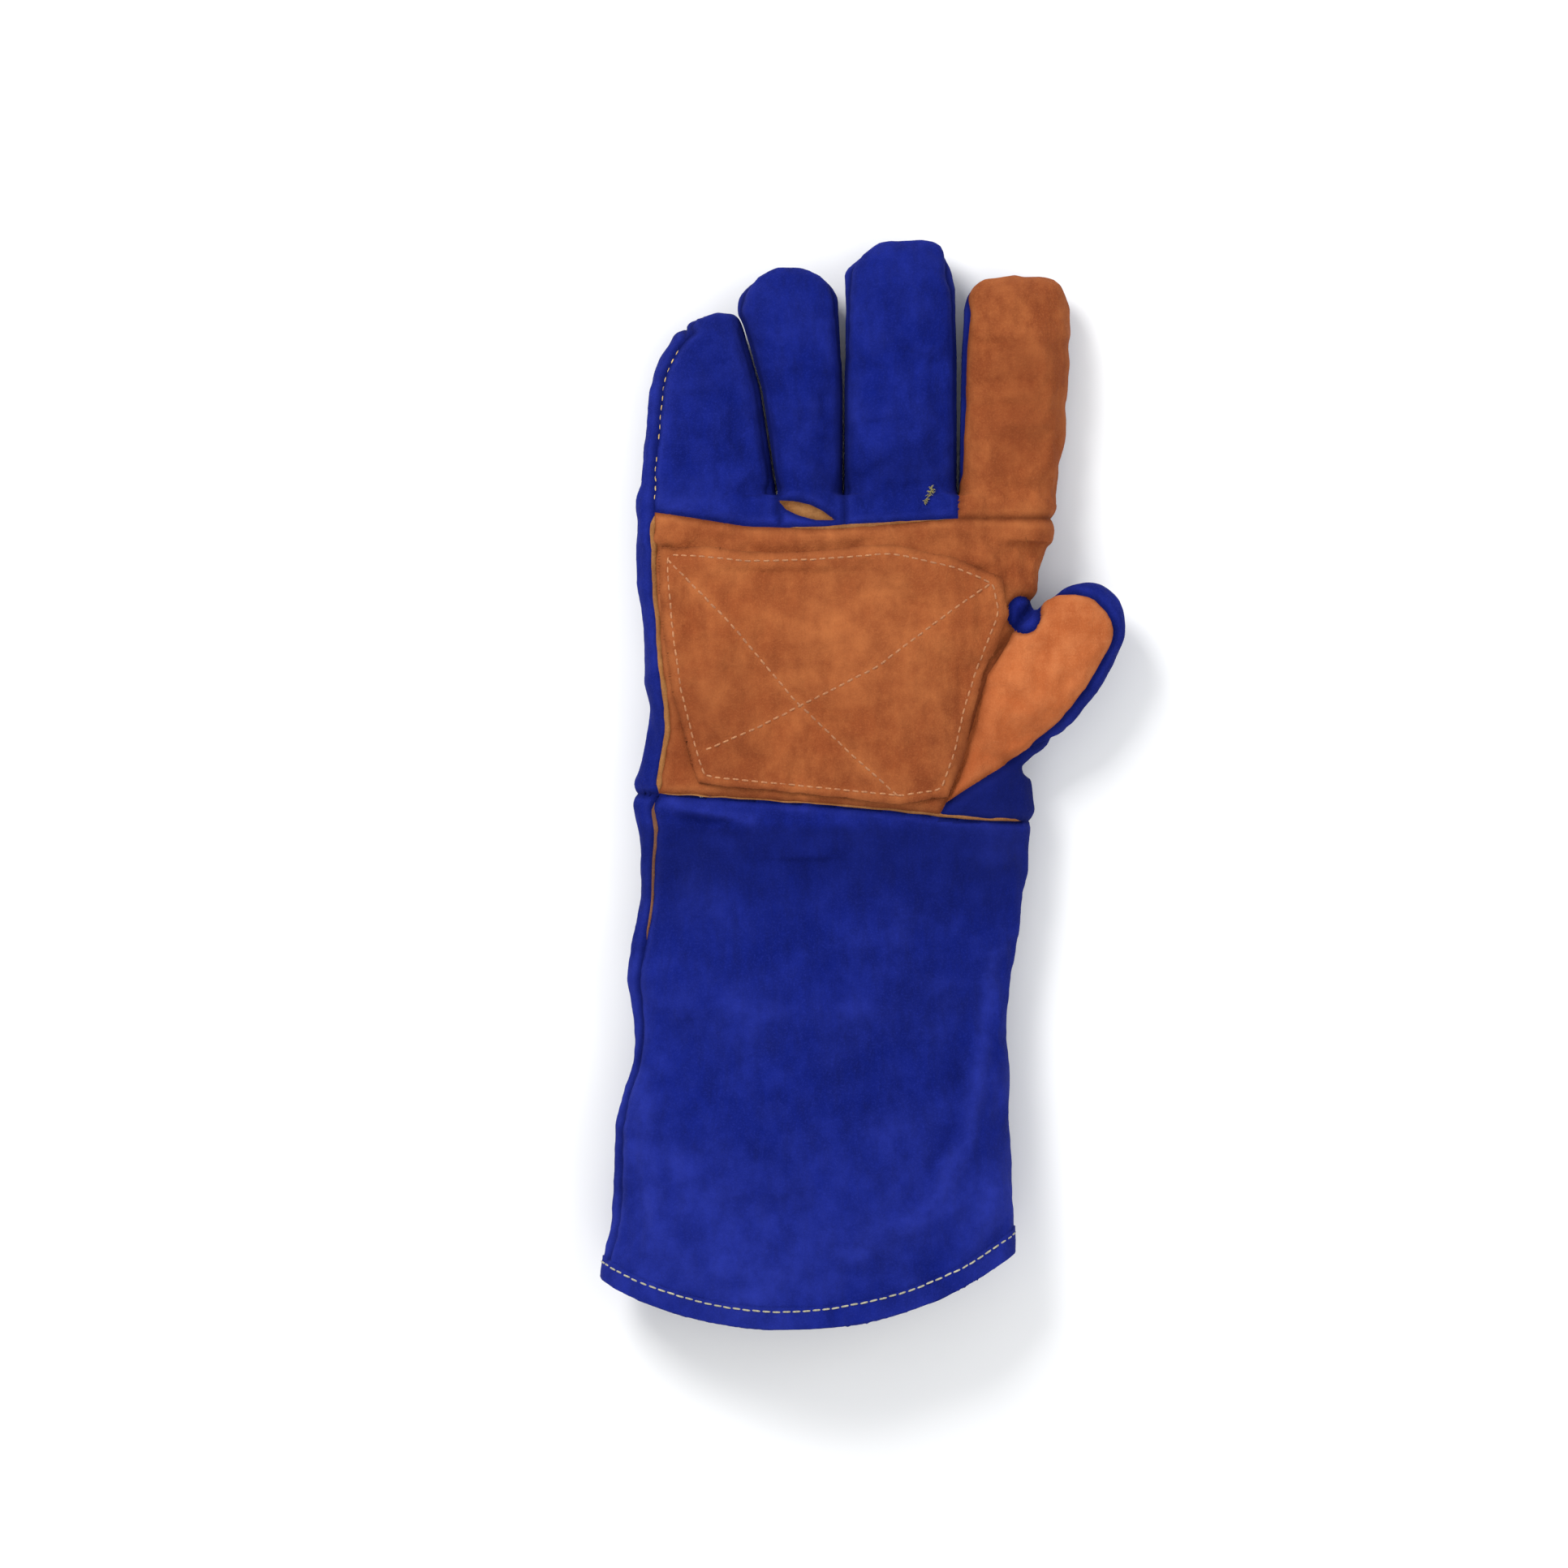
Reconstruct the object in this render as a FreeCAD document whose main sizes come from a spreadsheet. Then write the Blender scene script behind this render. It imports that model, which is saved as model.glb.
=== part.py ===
import FreeCAD, Part
import Sketcher
import math
import os

# Welding glove, right hand, lying on its back with the palm up. Millimetres.
# +Y runs from the cuff to the fingertips, +X to the thumb side, +Z up out of the palm.
# The origin is on the resting plane, under the middle of the palm.
#
# Every leather piece is a thin shell. The leather is divided at the bend lines of the
# wrist, the finger bases and the finger middles, with a V-shaped relief on the palm side,
# and beside the crease at the thumb's root. "Front" pieces face the palm side (+Z),
# "back" pieces the resting plane.


def relief_slope(bend):
    """Slope of a relief: tangent of half the bend plus two degrees."""
    return math.tan(math.radians(bend / 2 + 2))


# alias, value, meaning
SINGLE_SIZES = [
    ("leather", 1.4, "split cowhide thickness"),
    ("fleece", 1.5, "hand lining thickness"),
    ("canvas", 1.1, "cuff lining thickness"),
    ("liner_gap", 0.2, "room between leather and lining"),
    ("seam_gap", 0.06, "room between pieces that meet at a seam"),
    ("thread", 0.9, "sewing thread width"),
    # bend lines
    ("slit", 0.8, "room each side of a bend line"),
    ("overrun", 2.0, "how far a shell is built past a bend line before it is cut"),
    ("wrist_y", -54.4, "wrist bend line"),
    ("wrist_z", 17.0, "height of the wrist bend axis"),
    ("wrist_slope", relief_slope(35), "wrist bends 35 degrees"),
    ("knuckle_y", 68.0, "finger base bend line"),
    ("knuckle_z", 19.0, "height of the finger bend axes"),
    ("base_slope", relief_slope(75), "finger base bends 75 degrees"),
    ("middle_slope", relief_slope(80), "finger middle bends 80 degrees"),
    # fingers
    ("finger_low", 3.0, "underside of the fingers"),
    ("finger_high", 27.0, "top of the fingers"),
    ("finger_round", 10.5, "edge rounding of a finger"),
    ("front_seam_z", 20.5, "seam of finger front and side wall"),
    ("back_seam_z", 9.5, "seam of finger back and side wall"),
    ("tip_gap_side", 5.0, "gap in the side walls at the tip, from each finger edge"),
    ("tip_gap_deep", 9.0, "gap in the side walls, back from the tip"),
    # hand
    ("hand_top", 33.0, "height of the palm face"),
    ("hand_round", 13.5, "edge rounding of the hand"),
    ("hand_seam_z", 24.0, "height of the little-finger side seam"),
    ("hand_wrist_x", -75.5, "little-finger side of the hand at the wrist"),
    # cuts beside the thumb crease
    ("crease_cut", 5.4, "palm-side relief beside the thumb crease"),
    ("crease_past_low_x", 8.0, "cut line runs past the crease at the wrist end"),
    ("crease_past_low_y", 20.3, "same, along Y"),
    ("crease_past_high_x", 1.6, "thumb cut line runs past the web end"),
    ("crease_past_high_y", 4.0, "same, along Y"),
    ("crease_cut_wide", 30.0, "thumb cut, reach to the palm side of the crease"),
    ("web_cut_in", 1.0, "palm cut, set back from the web corner"),
    # thumb
    ("thumb_low", 8.0, "underside of the thumb"),
    ("thumb_high", 34.0, "top of the thumb"),
    ("thumb_round", 11.5, "edge rounding of the thumb"),
    ("thumb_tip_round", 15.5, "tip corner radius"),
    ("thumb_seam_z", 20.0, "seam of thumb front and back"),
    # heel panel beside the thumb root
    ("heel_low", 0.3, "underside of the panel"),
    ("heel_deep", 31.0, "panel size along Z"),
    ("heel_round", 8.0, "edge rounding of the panel"),
    ("heel_wrist_in", 0.6, "outer side at the wrist, set in from the outer corner"),
    ("heel_low_in", 3.0, "wrist end of the inner side, past the crease along X"),
    ("heel_top_in", 5.0, "upper end of the inner side, past the crease along X"),
    ("heel_top_up", 5.4, "upper end of the inner side, past the crease along Y"),
    # palm patch
    ("patch_thick", 1.4, "patch thickness"),
    ("patch_round", 3.0, "corner radius of the patch"),
    # cuff
    ("mouth_radius", 151.0, "radius of the rounded cuff edge"),
    ("cuff_liner_short", 2.0, "how far the lining stops inside the cuff edge"),
    ("hem_wide", 8.5, "reach of the hem binding in from the cuff edge"),
    ("hem_over", 0.4, "how far the binding stands past the cuff edge"),
    ("hem_thick", 1.2, "hem binding thickness"),
    ("hem_gap", 0.03, "room under the binding and under its stitching"),
    ("stitch_in", 7.0, "hem stitching, from the cuff edge"),
    # welts
    ("welt_thick", 1.1, "welt strip thickness"),
    ("welt_out", 1.2, "how far a side welt stands out of its seam"),
    ("welt_in", 1.45, "how far it reaches in"),
    ("welt_clear", 0.6, "room between a welt's end or side and a relief"),
    ("welt_wrist_shift", 0.6, "side welt shifted towards the thumb at the wrist"),
    ("wrist_welt_left", -58.0, "ends of the strip across the wrist"),
    ("wrist_welt_right", 33.0, "same, thumb side"),
    ("base_welt_clear", 1.2, "room between the finger-base strip and the relief"),
    ("base_welt_left_in", 1.0, "strip end, in from the ring finger's edge"),
    ("base_welt_right_in", 2.0, "strip end, in from the middle finger's edge"),
    ("cuff_welt_gap", 0.04, "room under the cuff's side welt"),
    ("cuff_welt_side", -40.0, "the cuff's side welt is kept on the -X side of this"),
    ("cuff_welt_end", -103.0, "where the cuff's side welt stops"),
]

# Corners in plan: each gives the aliases NAME_x and NAME_y.
CORNERS = [
    ("hand_heel", -72.0, -18.0),
    ("hand_shoulder", -76.2, 54.0),
    ("crease_low", 38.5, -56.0),
    ("crease_high", 66.5, 15.0),
    ("web", 74.5, 26.0),
    ("thumb_inner_low", 46.4, -39.0),
    ("thumb_outer_low", 74.6, -30.0),
    ("thumb_outer_tip", 115.0, 13.8),
    ("thumb_inner_tip", 91.0, 36.4),
    ("thumb_web", 71.6, 15.6),
    ("heel_outer", 73.0, -49.0),
    ("heel_top", 68.5, -36.6),
    ("patch_top_left", -66.0, 44.5),
    ("patch_low_left", -53.0, -43.6),
    ("patch_low_right", 36.0, -45.4),
    ("patch_web", 59.5, 12.0),
    ("patch_top_right", 61.0, 32.6),
    ("patch_top_mid_right", 20.0, 44.4),
    ("patch_top_mid_left", -35.0, 41.6),
    ("mouth", -20.4, -95.0),  # centre of the rounded cuff edge
]

# X of both edges at the base, the middle bend and the tip; Y of the middle bend
# and of the tip; tip corner radius. Aliases are FINGER_COLUMN.
FINGER_COLUMNS = ("left_base", "right_base", "left_bend", "right_bend",
                  "left_tip", "right_tip", "bend_y", "tip_y", "tip_round")
FINGERS = {
    "index": (44.6, 81.5, 45.4, 85.6, 48.5, 84.5, 106.0, 145.0, 9.0),
    "middle": (2.8, 43.2, 2.8, 43.2, 5.0, 41.5, 112.0, 160.0, 14.0),
    "ring": (-25.2, 1.4, -29.8, 1.2, -33.0, -1.0, 108.0, 150.0, 13.0),
    "little": (-75.0, -26.6, -71.5, -31.2, -63.0, -34.5, 98.0, 132.0, 12.5),
}

# Cross-sections of the cuff. Aliases are cuff_COLUMN_STATION.
CUFF_COLUMNS = ("y", "left", "right", "low", "high", "corner")
CUFF_STATIONS = {
    "wrist": (-55.2, -75.0, 70.6, 0.6, 33.0, 15.5),
    "waist": (-145.0, -78.0, 62.6, 1.2, 39.0, 18.0),
    "mouth": (-250.0, -90.8, 66.0, 2.4, 47.5, 21.0),
}


def size_rows():
    """All spreadsheet rows: the single sizes, then those of the tables."""
    rows = list(SINGLE_SIZES)
    for name, x, y in CORNERS:
        rows += [(name + "_x", x, ""), (name + "_y", y, "")]
    for finger, values in FINGERS.items():
        rows += [(f"{finger}_{column}", value, "")
                 for column, value in zip(FINGER_COLUMNS, values)]
    for station, values in CUFF_STATIONS.items():
        rows += [(f"cuff_{column}_{station}", value, "")
                 for column, value in zip(CUFF_COLUMNS, values)]
    return rows


doc = FreeCAD.newDocument("welding_glove")
sheet = doc.addObject("Spreadsheet::Sheet", "Sizes")
ROWS = size_rows()
for row, (alias, value, meaning) in enumerate(ROWS, start=1):
    sheet.set(f"A{row}", alias)
    sheet.set(f"B{row}", repr(value))
    if meaning:
        sheet.set(f"C{row}", meaning)
    sheet.setAlias(f"B{row}", alias)
doc.recompute()
SIZES = {alias: float(sheet.get(alias)) for alias, _, _ in ROWS}

# ---------------------------------------------------------------- expressions
# Dimensions are passed around as text in the sheet's aliases, with + - * / and brackets.


def words(text):
    """Splits an expression into numbers, names and signs."""
    found, word = [], ""
    for char in text + " ":
        if char.isalnum() or char in "_.":
            word += char
            continue
        if word:
            found.append(word)
            word = ""
        if char != " ":
            found.append(char)
    return found


def full(text):
    """The expression with the sheet's name before each alias, for setExpression."""
    return "".join("Sizes." + word if word in SIZES else word for word in words(text))


def num(text):
    """Value of an expression."""
    todo = words(text)

    def atom():
        word = todo.pop(0)
        if word == "-":
            return -atom()
        if word == "(":
            value = total()
            todo.pop(0)  # closing bracket
            return value
        return SIZES[word] if word in SIZES else float(word)

    def product():
        value = atom()
        while todo and todo[0] in "*/":
            if todo.pop(0) == "*":
                value *= atom()
            else:
                value /= atom()
        return value

    def total():
        value = product()
        while todo and todo[0] in "+-":
            if todo.pop(0) == "+":
                value += product()
            else:
                value -= product()
        return value

    return total()


# ---------------------------------------------------------------- bodies and sketches

PIECES = []


def new_body(label):
    body = doc.addObject("PartDesign::Body", "Body_" + label)
    body.Label = label
    PIECES.append(body)
    return body


def new_sketch(body, name, role, lift=None):
    """A sketch on an origin plane, moved along the plane's normal by lift."""
    sketch = body.newObject("Sketcher::SketchObject", name)
    plane = [o for o in body.Origin.OriginFeatures if o.Role == role][0]
    sketch.AttachmentSupport = [(plane, "")]
    sketch.MapMode = "FlatFace"
    if lift:
        sketch.setExpression("AttachmentOffset.Base.z", full(lift))
    return sketch


def constrain(sketch, text, kind, *where):
    """Adds a dimension driven by an expression."""
    index = sketch.addConstraint(Sketcher.Constraint(kind, *where, num(text)))
    sketch.setExpression(f"Constraints[{index}]", full(text))


def fix(sketch, element, end, point):
    """Pins one point of a sketch element."""
    constrain(sketch, point[0], "DistanceX", -1, 1, element, end)
    constrain(sketch, point[1], "DistanceY", -1, 1, element, end)


def vector(point):
    return FreeCAD.Vector(num(point[0]), num(point[1]), 0)


def circle_at(centre, radius):
    return Part.Circle(vector(centre), FreeCAD.Vector(0, 0, 1), num(radius))


def add_loop(sketch, points):
    """A closed polygon."""
    first = sketch.GeometryCount
    count = len(points)
    for i in range(count):
        line = Part.LineSegment(vector(points[i]), vector(points[(i + 1) % count]))
        sketch.addGeometry(line, False)
    for i in range(count):
        following = first + (i + 1) % count
        sketch.addConstraint(Sketcher.Constraint("Coincident", first + i, 2, following, 1))
    for i in range(count):
        fix(sketch, first + i, 1, points[i])


def add_circle(sketch, centre, radius):
    element = sketch.addGeometry(circle_at(centre, radius), False)
    fix(sketch, element, 3, centre)
    constrain(sketch, radius, "Radius", element)


def add_round_rect(sketch, left, right, low, high, corner):
    """A rounded rectangle in an empty sketch, as alternating lines and arcs."""
    inner_left, inner_right = f"{left}+({corner})", f"{right}-({corner})"
    inner_low, inner_high = f"{low}+({corner})", f"{high}-({corner})"
    points = [
        (inner_left, low), (inner_right, low), (right, inner_low), (right, inner_high),
        (inner_right, high), (inner_left, high), (left, inner_high), (left, inner_low),
    ]
    centres = [(inner_right, inner_low), (inner_right, inner_high),
               (inner_left, inner_high), (inner_left, inner_low)]
    for k in range(4):
        ends = vector(points[2 * k]), vector(points[2 * k + 1])
        sketch.addGeometry(Part.LineSegment(*ends), False)
        start = -math.pi / 2 + k * math.pi / 2
        arc = Part.ArcOfCircle(circle_at(centres[k], corner), start, start + math.pi / 2)
        sketch.addGeometry(arc, False)
    for k in range(4):
        line, arc = 2 * k, 2 * k + 1
        following = (2 * k + 2) % 8
        sketch.addConstraint(Sketcher.Constraint("Coincident", line, 2, arc, 1))
        sketch.addConstraint(Sketcher.Constraint("Coincident", arc, 2, following, 1))
        fix(sketch, line, 1, points[2 * k])
        fix(sketch, line, 2, points[2 * k + 1])
        constrain(sketch, corner, "Radius", arc)


# ---------------------------------------------------------------- features

TOUCH = 1e-3  # lengths and distances below this count as zero
FLAT = 1e-4  # the same for an edge's extent


def upright(edge):
    box = edge.BoundBox
    return box.XLength < FLAT and box.YLength < FLAT


def level(edge):
    return edge.BoundBox.ZLength < FLAT


def chosen(kind, shapes, test):
    """Names such as Edge3 of the shapes that pass a test."""
    return [f"{kind}{i}" for i, shape in enumerate(shapes, start=1) if test(shape)]


def pad_loop(body, name, points, lift, length, sketch_name="outline"):
    """Pads a plan outline upwards from the height lift."""
    sketch = new_sketch(body, sketch_name, "XY_Plane", lift)
    add_loop(sketch, points)
    feature = body.newObject("PartDesign::Pad", name)
    feature.Profile = sketch
    feature.setExpression("Length", full(length))
    doc.recompute()
    return feature


def fillet(body, name, base, test, radius):
    """Rounds the edges of base that pass the test."""
    feature = body.newObject("PartDesign::Fillet", name)
    feature.Base = (base, chosen("Edge", base.Shape.Edges, test))
    feature.setExpression("Radius", full(radius))
    doc.recompute()
    return feature


def hollow(body, base, test, wall):
    """Hollows base inwards, leaving it open at the faces that pass the test."""
    feature = body.newObject("PartDesign::Thickness", "hollow")
    feature.Base = (base, chosen("Face", base.Shape.Faces, test))
    feature.setExpression("Value", full(wall))
    feature.Reversed = True
    feature.Mode = 0  # skin
    feature.Join = 0  # arc
    doc.recompute()


def pocket_through(body, name, sketch):
    before = body.Shape.Volume
    feature = body.newObject("PartDesign::Pocket", name)
    feature.Profile = sketch
    feature.Type = 1  # through all
    feature.Midplane = True
    doc.recompute()
    if not feature.Shape.Volume < before - 1e-3:
        raise RuntimeError(f"{body.Label} {name} cut nothing")


def cut(body, name, role, *loops):
    """Removes the areas of the loops right through, square to an origin plane."""
    sketch = new_sketch(body, name + "_sketch", role)
    for points in loops:
        add_loop(sketch, points)
    pocket_through(body, name, sketch)


def cut_plan(body, name, points):
    cut(body, name, "XY_Plane", points)


def cut_section(body, name, *loops):
    """Cuts in the cross-section: X across, Z up."""
    cut(body, name, "XZ_Plane", *loops)


# Coordinates beyond the glove on every axis
MIN_ALL, MAX_ALL = "-300", "300"


def rectangle(left, right, low, high):
    return [(left, low), (right, low), (right, high), (left, high)]


def below(z):
    return rectangle(MIN_ALL, MAX_ALL, MIN_ALL, z)


def above(z):
    return rectangle(MIN_ALL, MAX_ALL, z, MAX_ALL)


# Bend lines: Y, height of the axis, slope of the relief
WRIST = ("wrist_y", "wrist_z", "wrist_slope")
KNUCKLE = ("knuckle_y", "knuckle_z", "base_slope")

# How far a bend cut reaches along Y, below the glove and above the bend axis
BEND_REACH, BEND_BOTTOM, BEND_RISE = "120", "-60", "60"


def relief_edge(bend, kept, z):
    """Y of a relief's edge at height z. kept is the side with leather, + for +Y."""
    y, axis_z, slope = bend
    return f"{y}{kept}slit{kept}({z}-{axis_z})*{slope}"


def cut_bend(body, name, bend, kept):
    """Cuts off all on the other side of a bend line from kept, with the palm-side V."""
    y, axis_z, slope = bend
    removed = "-" if kept == "+" else "+"
    far_y = y + removed + BEND_REACH
    slit_y = f"{y}{kept}slit"
    top_z = f"{axis_z}+{BEND_RISE}"
    cut(body, name, "YZ_Plane", [
        (far_y, BEND_BOTTOM),
        (slit_y, BEND_BOTTOM),
        (slit_y, axis_z),
        (f"{slit_y}{kept}{BEND_RISE}*{slope}", top_z),
        (far_y, top_z),
    ])


LINER_INSET = "(leather+liner_gap)"
THREAD_RISE = "thread*0.6"

# ---------------------------------------------------------------- fingers


def finger_shell(label, finger, part, inset, wall):
    """The hollow stall of one finger segment, before it is cut into pieces."""
    body = new_body(label)
    lower = part == "lower"
    if lower:
        near, far = "base", "bend"
        near_y, far_y = "knuckle_y-overrun", f"{finger}_bend_y+overrun"
    else:
        near, far = "bend", "tip"
        near_y, far_y = f"{finger}_bend_y-overrun", f"{finger}_tip_y-{inset}"
    last = pad_loop(body, "stall", [
        (f"{finger}_left_{near}+{inset}", near_y),
        (f"{finger}_right_{near}-{inset}", near_y),
        (f"{finger}_right_{far}-{inset}", far_y),
        (f"{finger}_left_{far}+{inset}", far_y),
    ], f"finger_low+{inset}", f"finger_high-finger_low-2*{inset}")

    def tip_corner(edge):
        return upright(edge) and edge.BoundBox.YMin > num(far_y) - 1

    def at_near_end(shape):
        return abs(shape.BoundBox.YMin - num(near_y)) < TOUCH

    def at_far_end(shape):
        return abs(shape.BoundBox.YMin - num(far_y)) < TOUCH

    def rim(edge):
        """Level edges, without those across an open end."""
        across = edge.BoundBox.YLength < FLAT
        return level(edge) and not (across and (lower or at_near_end(edge)))

    def open_end(face):
        if face.BoundBox.YLength > TOUCH:
            return False
        return at_near_end(face) or (lower and at_far_end(face))

    if not lower:
        last = fillet(body, "tip_round", last, tip_corner, f"{finger}_tip_round-{inset}")
    last = fillet(body, "edge_round", last, rim, f"finger_round-{inset}")
    hollow(body, last, open_end, wall)
    middle_bend = (f"{finger}_bend_y", "knuckle_z", "middle_slope")
    if lower:
        cut_bend(body, "base_bend", KNUCKLE, "+")
        cut_bend(body, "mid_bend", middle_bend, "-")
    else:
        cut_bend(body, "mid_bend", middle_bend, "+")
    return body


def middle_x(finger):
    return f"({finger}_left_bend+{finger}_right_bend)/2"


def finger_front(finger, part):
    """Palm-side leather. On the index it wraps round the thumb-side edge."""
    body = finger_shell(f"{finger}_front_{part}", finger, part, "0", "leather")
    removed = below("front_seam_z")
    if finger == "index":
        low, middle = "back_seam_z+seam_gap", middle_x(finger)
        removed = [
            (MIN_ALL, MIN_ALL), (MAX_ALL, MIN_ALL), (MAX_ALL, low),
            (middle, low), (middle, "front_seam_z"), (MIN_ALL, "front_seam_z"),
        ]
    cut_section(body, "seam", removed)


def finger_back(finger, part):
    """Back leather. On the little finger it wraps round the outer (-X) edge."""
    body = finger_shell(f"{finger}_back_{part}", finger, part, "0", "leather")
    removed = above("back_seam_z")
    if finger == "little":
        high, middle = "front_seam_z-seam_gap", middle_x(finger)
        removed = [
            (MIN_ALL, MAX_ALL), (MIN_ALL, high), (middle, high),
            (middle, "back_seam_z"), (MAX_ALL, "back_seam_z"), (MAX_ALL, MAX_ALL),
        ]
    cut_section(body, "seam", removed)


def finger_fourchette(finger, part):
    """Side walls between neighbours: one on the index and little finger, else two."""
    body = finger_shell(f"{finger}_fourchette_{part}", finger, part, "0", "leather")
    low, high, middle = "back_seam_z+seam_gap", "front_seam_z-seam_gap", middle_x(finger)
    if finger == "index":  # keeps the -X wall
        cut_section(body, "seam", [
            (MIN_ALL, MIN_ALL), (MAX_ALL, MIN_ALL), (MAX_ALL, MAX_ALL), (MIN_ALL, MAX_ALL),
            (MIN_ALL, high), (middle, high), (middle, low), (MIN_ALL, low),
        ])
    elif finger == "little":  # keeps the +X wall
        cut_section(body, "seam", [
            (MAX_ALL, MIN_ALL), (MAX_ALL, low), (middle, low), (middle, high),
            (MAX_ALL, high), (MAX_ALL, MAX_ALL), (MIN_ALL, MAX_ALL), (MIN_ALL, MIN_ALL),
        ])
    else:
        cut_section(body, "seam", below(low), above(high))
        if part == "upper":  # the two walls stop short of the tip's middle
            cut_plan(body, "tip_gap", rectangle(
                f"{finger}_left_tip+tip_gap_side", f"{finger}_right_tip-tip_gap_side",
                f"{finger}_tip_y-tip_gap_deep", MAX_ALL))


def finger_liner(finger, part):
    finger_shell(f"{finger}_liner_{part}", finger, part, LINER_INSET, "fleece")


# ---------------------------------------------------------------- hand


def hand_shell(label, inset, wall, crease_inset):
    """The hollow hand; inset is from the outside, crease_inset from the thumb crease."""
    body = new_body(label)
    last = pad_loop(body, "body", [
        (f"hand_wrist_x+{inset}", "wrist_y-overrun"),
        (f"crease_low_x-{crease_inset}", "wrist_y-overrun"),
        (f"crease_high_x-{crease_inset}", "crease_high_y"),
        (f"web_x-{inset}", "web_y"),
        (f"index_right_base-{inset}", "knuckle_y+overrun"),
        (f"little_left_base+{inset}", "knuckle_y+overrun"),
        (f"hand_shoulder_x+{inset}", "hand_shoulder_y"),
        (f"hand_heel_x+{inset}", "hand_heel_y"),
    ], inset, f"hand_top-2*{inset}")

    def outer(edge):
        """Level edges of the -X side, and of the +X side between web and index."""
        length_y = edge.BoundBox.YLength
        if not level(edge) or length_y < TOUCH:
            return False
        centre = edge.CenterOfMass
        above_crease = centre.y > num("crease_high_y") + 1
        return centre.x < -60 or (centre.x > 60 and above_crease and length_y > 20)

    def open_side(face):
        """Walls at the wrist, the knuckles, the crease and the web."""
        if face.BoundBox.ZLength < TOUCH:
            return False
        centre = face.CenterOfMass
        return face.BoundBox.YLength < TOUCH or (centre.x > 30 and centre.y < num("web_y"))

    last = fillet(body, "edge_round", last, outer, f"hand_round-{inset}")
    hollow(body, last, open_side, wall)
    cut_bend(body, "wrist_bend", WRIST, "+")
    cut_bend(body, "knuckle_bend", KNUCKLE, "-")
    return body


def hand_back():
    body = hand_shell("hand_back", "0", "leather", "slit")
    cut_section(body, "seam", above("hand_seam_z-welt_thick/2-seam_gap"))


def palm_base():
    body = hand_shell("palm_base", "0", "leather", "slit")
    cut_section(body, "seam", below("hand_seam_z+welt_thick/2+seam_gap"))
    # everything on the thumb side of a line set back from the crease, up to the web
    cut_plan(body, "thumb_relief", [
        ("crease_low_x-crease_cut-crease_past_low_x", "crease_low_y-crease_past_low_y"),
        ("crease_high_x-crease_cut", "crease_high_y"),
        ("web_x-web_cut_in", "web_y-web_cut_in"),
        (MAX_ALL, "web_y-web_cut_in"),
        (MAX_ALL, "crease_low_y-crease_past_low_y"),
    ])


def hand_liner():
    hand_shell("hand_liner", LINER_INSET, "fleece", "(slit+crease_cut)")


def palm_patch():
    """Reinforcement sheet on the palm."""
    body = new_body("palm_patch")
    outline = [(name + "_x", name + "_y") for name, _, _ in CORNERS
               if name.startswith("patch_")]
    # The patch corners are listed in CORNERS in order round the outline.
    last = pad_loop(body, "sheet", outline, "hand_top+seam_gap", "patch_thick")

    def wrist_or_thumb_corner(edge):
        box = edge.BoundBox
        return upright(edge) and (box.YMin < -40 or box.XMin > 58)

    fillet(body, "corner_round", last, wrist_or_thumb_corner, "patch_round")


def thread_bar(body, name, start, end):
    """A straight line of thread on top of the patch."""
    run = vector(end) - vector(start)
    across_x, across_y = -run.y / run.Length, run.x / run.Length

    def beside(point, sign):
        return (f"{point[0]}{sign}(thread/2)*{across_x:.6f}",
                f"{point[1]}{sign}(thread/2)*{across_y:.6f}")

    pad_loop(body, name, [
        beside(start, "-"), beside(end, "-"), beside(end, "+"), beside(start, "+"),
    ], "hand_top+2*seam_gap+patch_thick", THREAD_RISE, name + "_sketch")


def palm_patch_stitching():
    """Two crossing diagonals, each ending a little inside the patch's corners."""
    body = new_body("palm_patch_stitching")
    thread_bar(body, "diagonal_a", ("patch_top_left_x+3", "patch_top_left_y-4"),
               ("patch_low_right_x-12", "patch_low_right_y+2"))
    thread_bar(body, "diagonal_b", ("patch_low_left_x+3", "patch_low_left_y+6"),
               ("patch_top_right_x-6", "patch_top_right_y-3"))


def hand_side_welt():
    """Strip in the little-finger side seam of the hand."""
    wrist_end = relief_edge(WRIST, "+", "hand_seam_z") + "+welt_clear"
    knuckle_end = relief_edge(KNUCKLE, "-", "hand_seam_z") + "-welt_clear"
    pad_loop(new_body("hand_side_welt"), "strip", [
        ("hand_wrist_x-welt_out+welt_wrist_shift", wrist_end),
        ("hand_wrist_x+welt_in+welt_wrist_shift", wrist_end),
        ("hand_heel_x+welt_in", "hand_heel_y"),
        ("hand_shoulder_x+welt_in", "hand_shoulder_y"),
        ("little_left_base+welt_in", knuckle_end),
        ("little_left_base-welt_out", knuckle_end),
        ("hand_shoulder_x-welt_out", "hand_shoulder_y"),
        ("hand_heel_x-welt_out", "hand_heel_y"),
    ], "hand_seam_z-welt_thick/2", "welt_thick")


def cross_welt(label, left, right, y):
    """A strip across the palm face, from y towards the fingertips."""
    outline = rectangle(left, right, y, y + "+welt_thick")
    pad_loop(new_body(label), "strip", outline, "hand_top+seam_gap", "welt_thick")


def wrist_welt():
    cross_welt("wrist_welt", "wrist_welt_left", "wrist_welt_right",
               relief_edge(WRIST, "+", "hand_top") + "+welt_clear")


def finger_base_welt():
    cross_welt("finger_base_welt", "ring_left_base+base_welt_left_in",
               "middle_right_base-base_welt_right_in",
               relief_edge(KNUCKLE, "-", "hand_top") + "-welt_thick-base_welt_clear")


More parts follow.
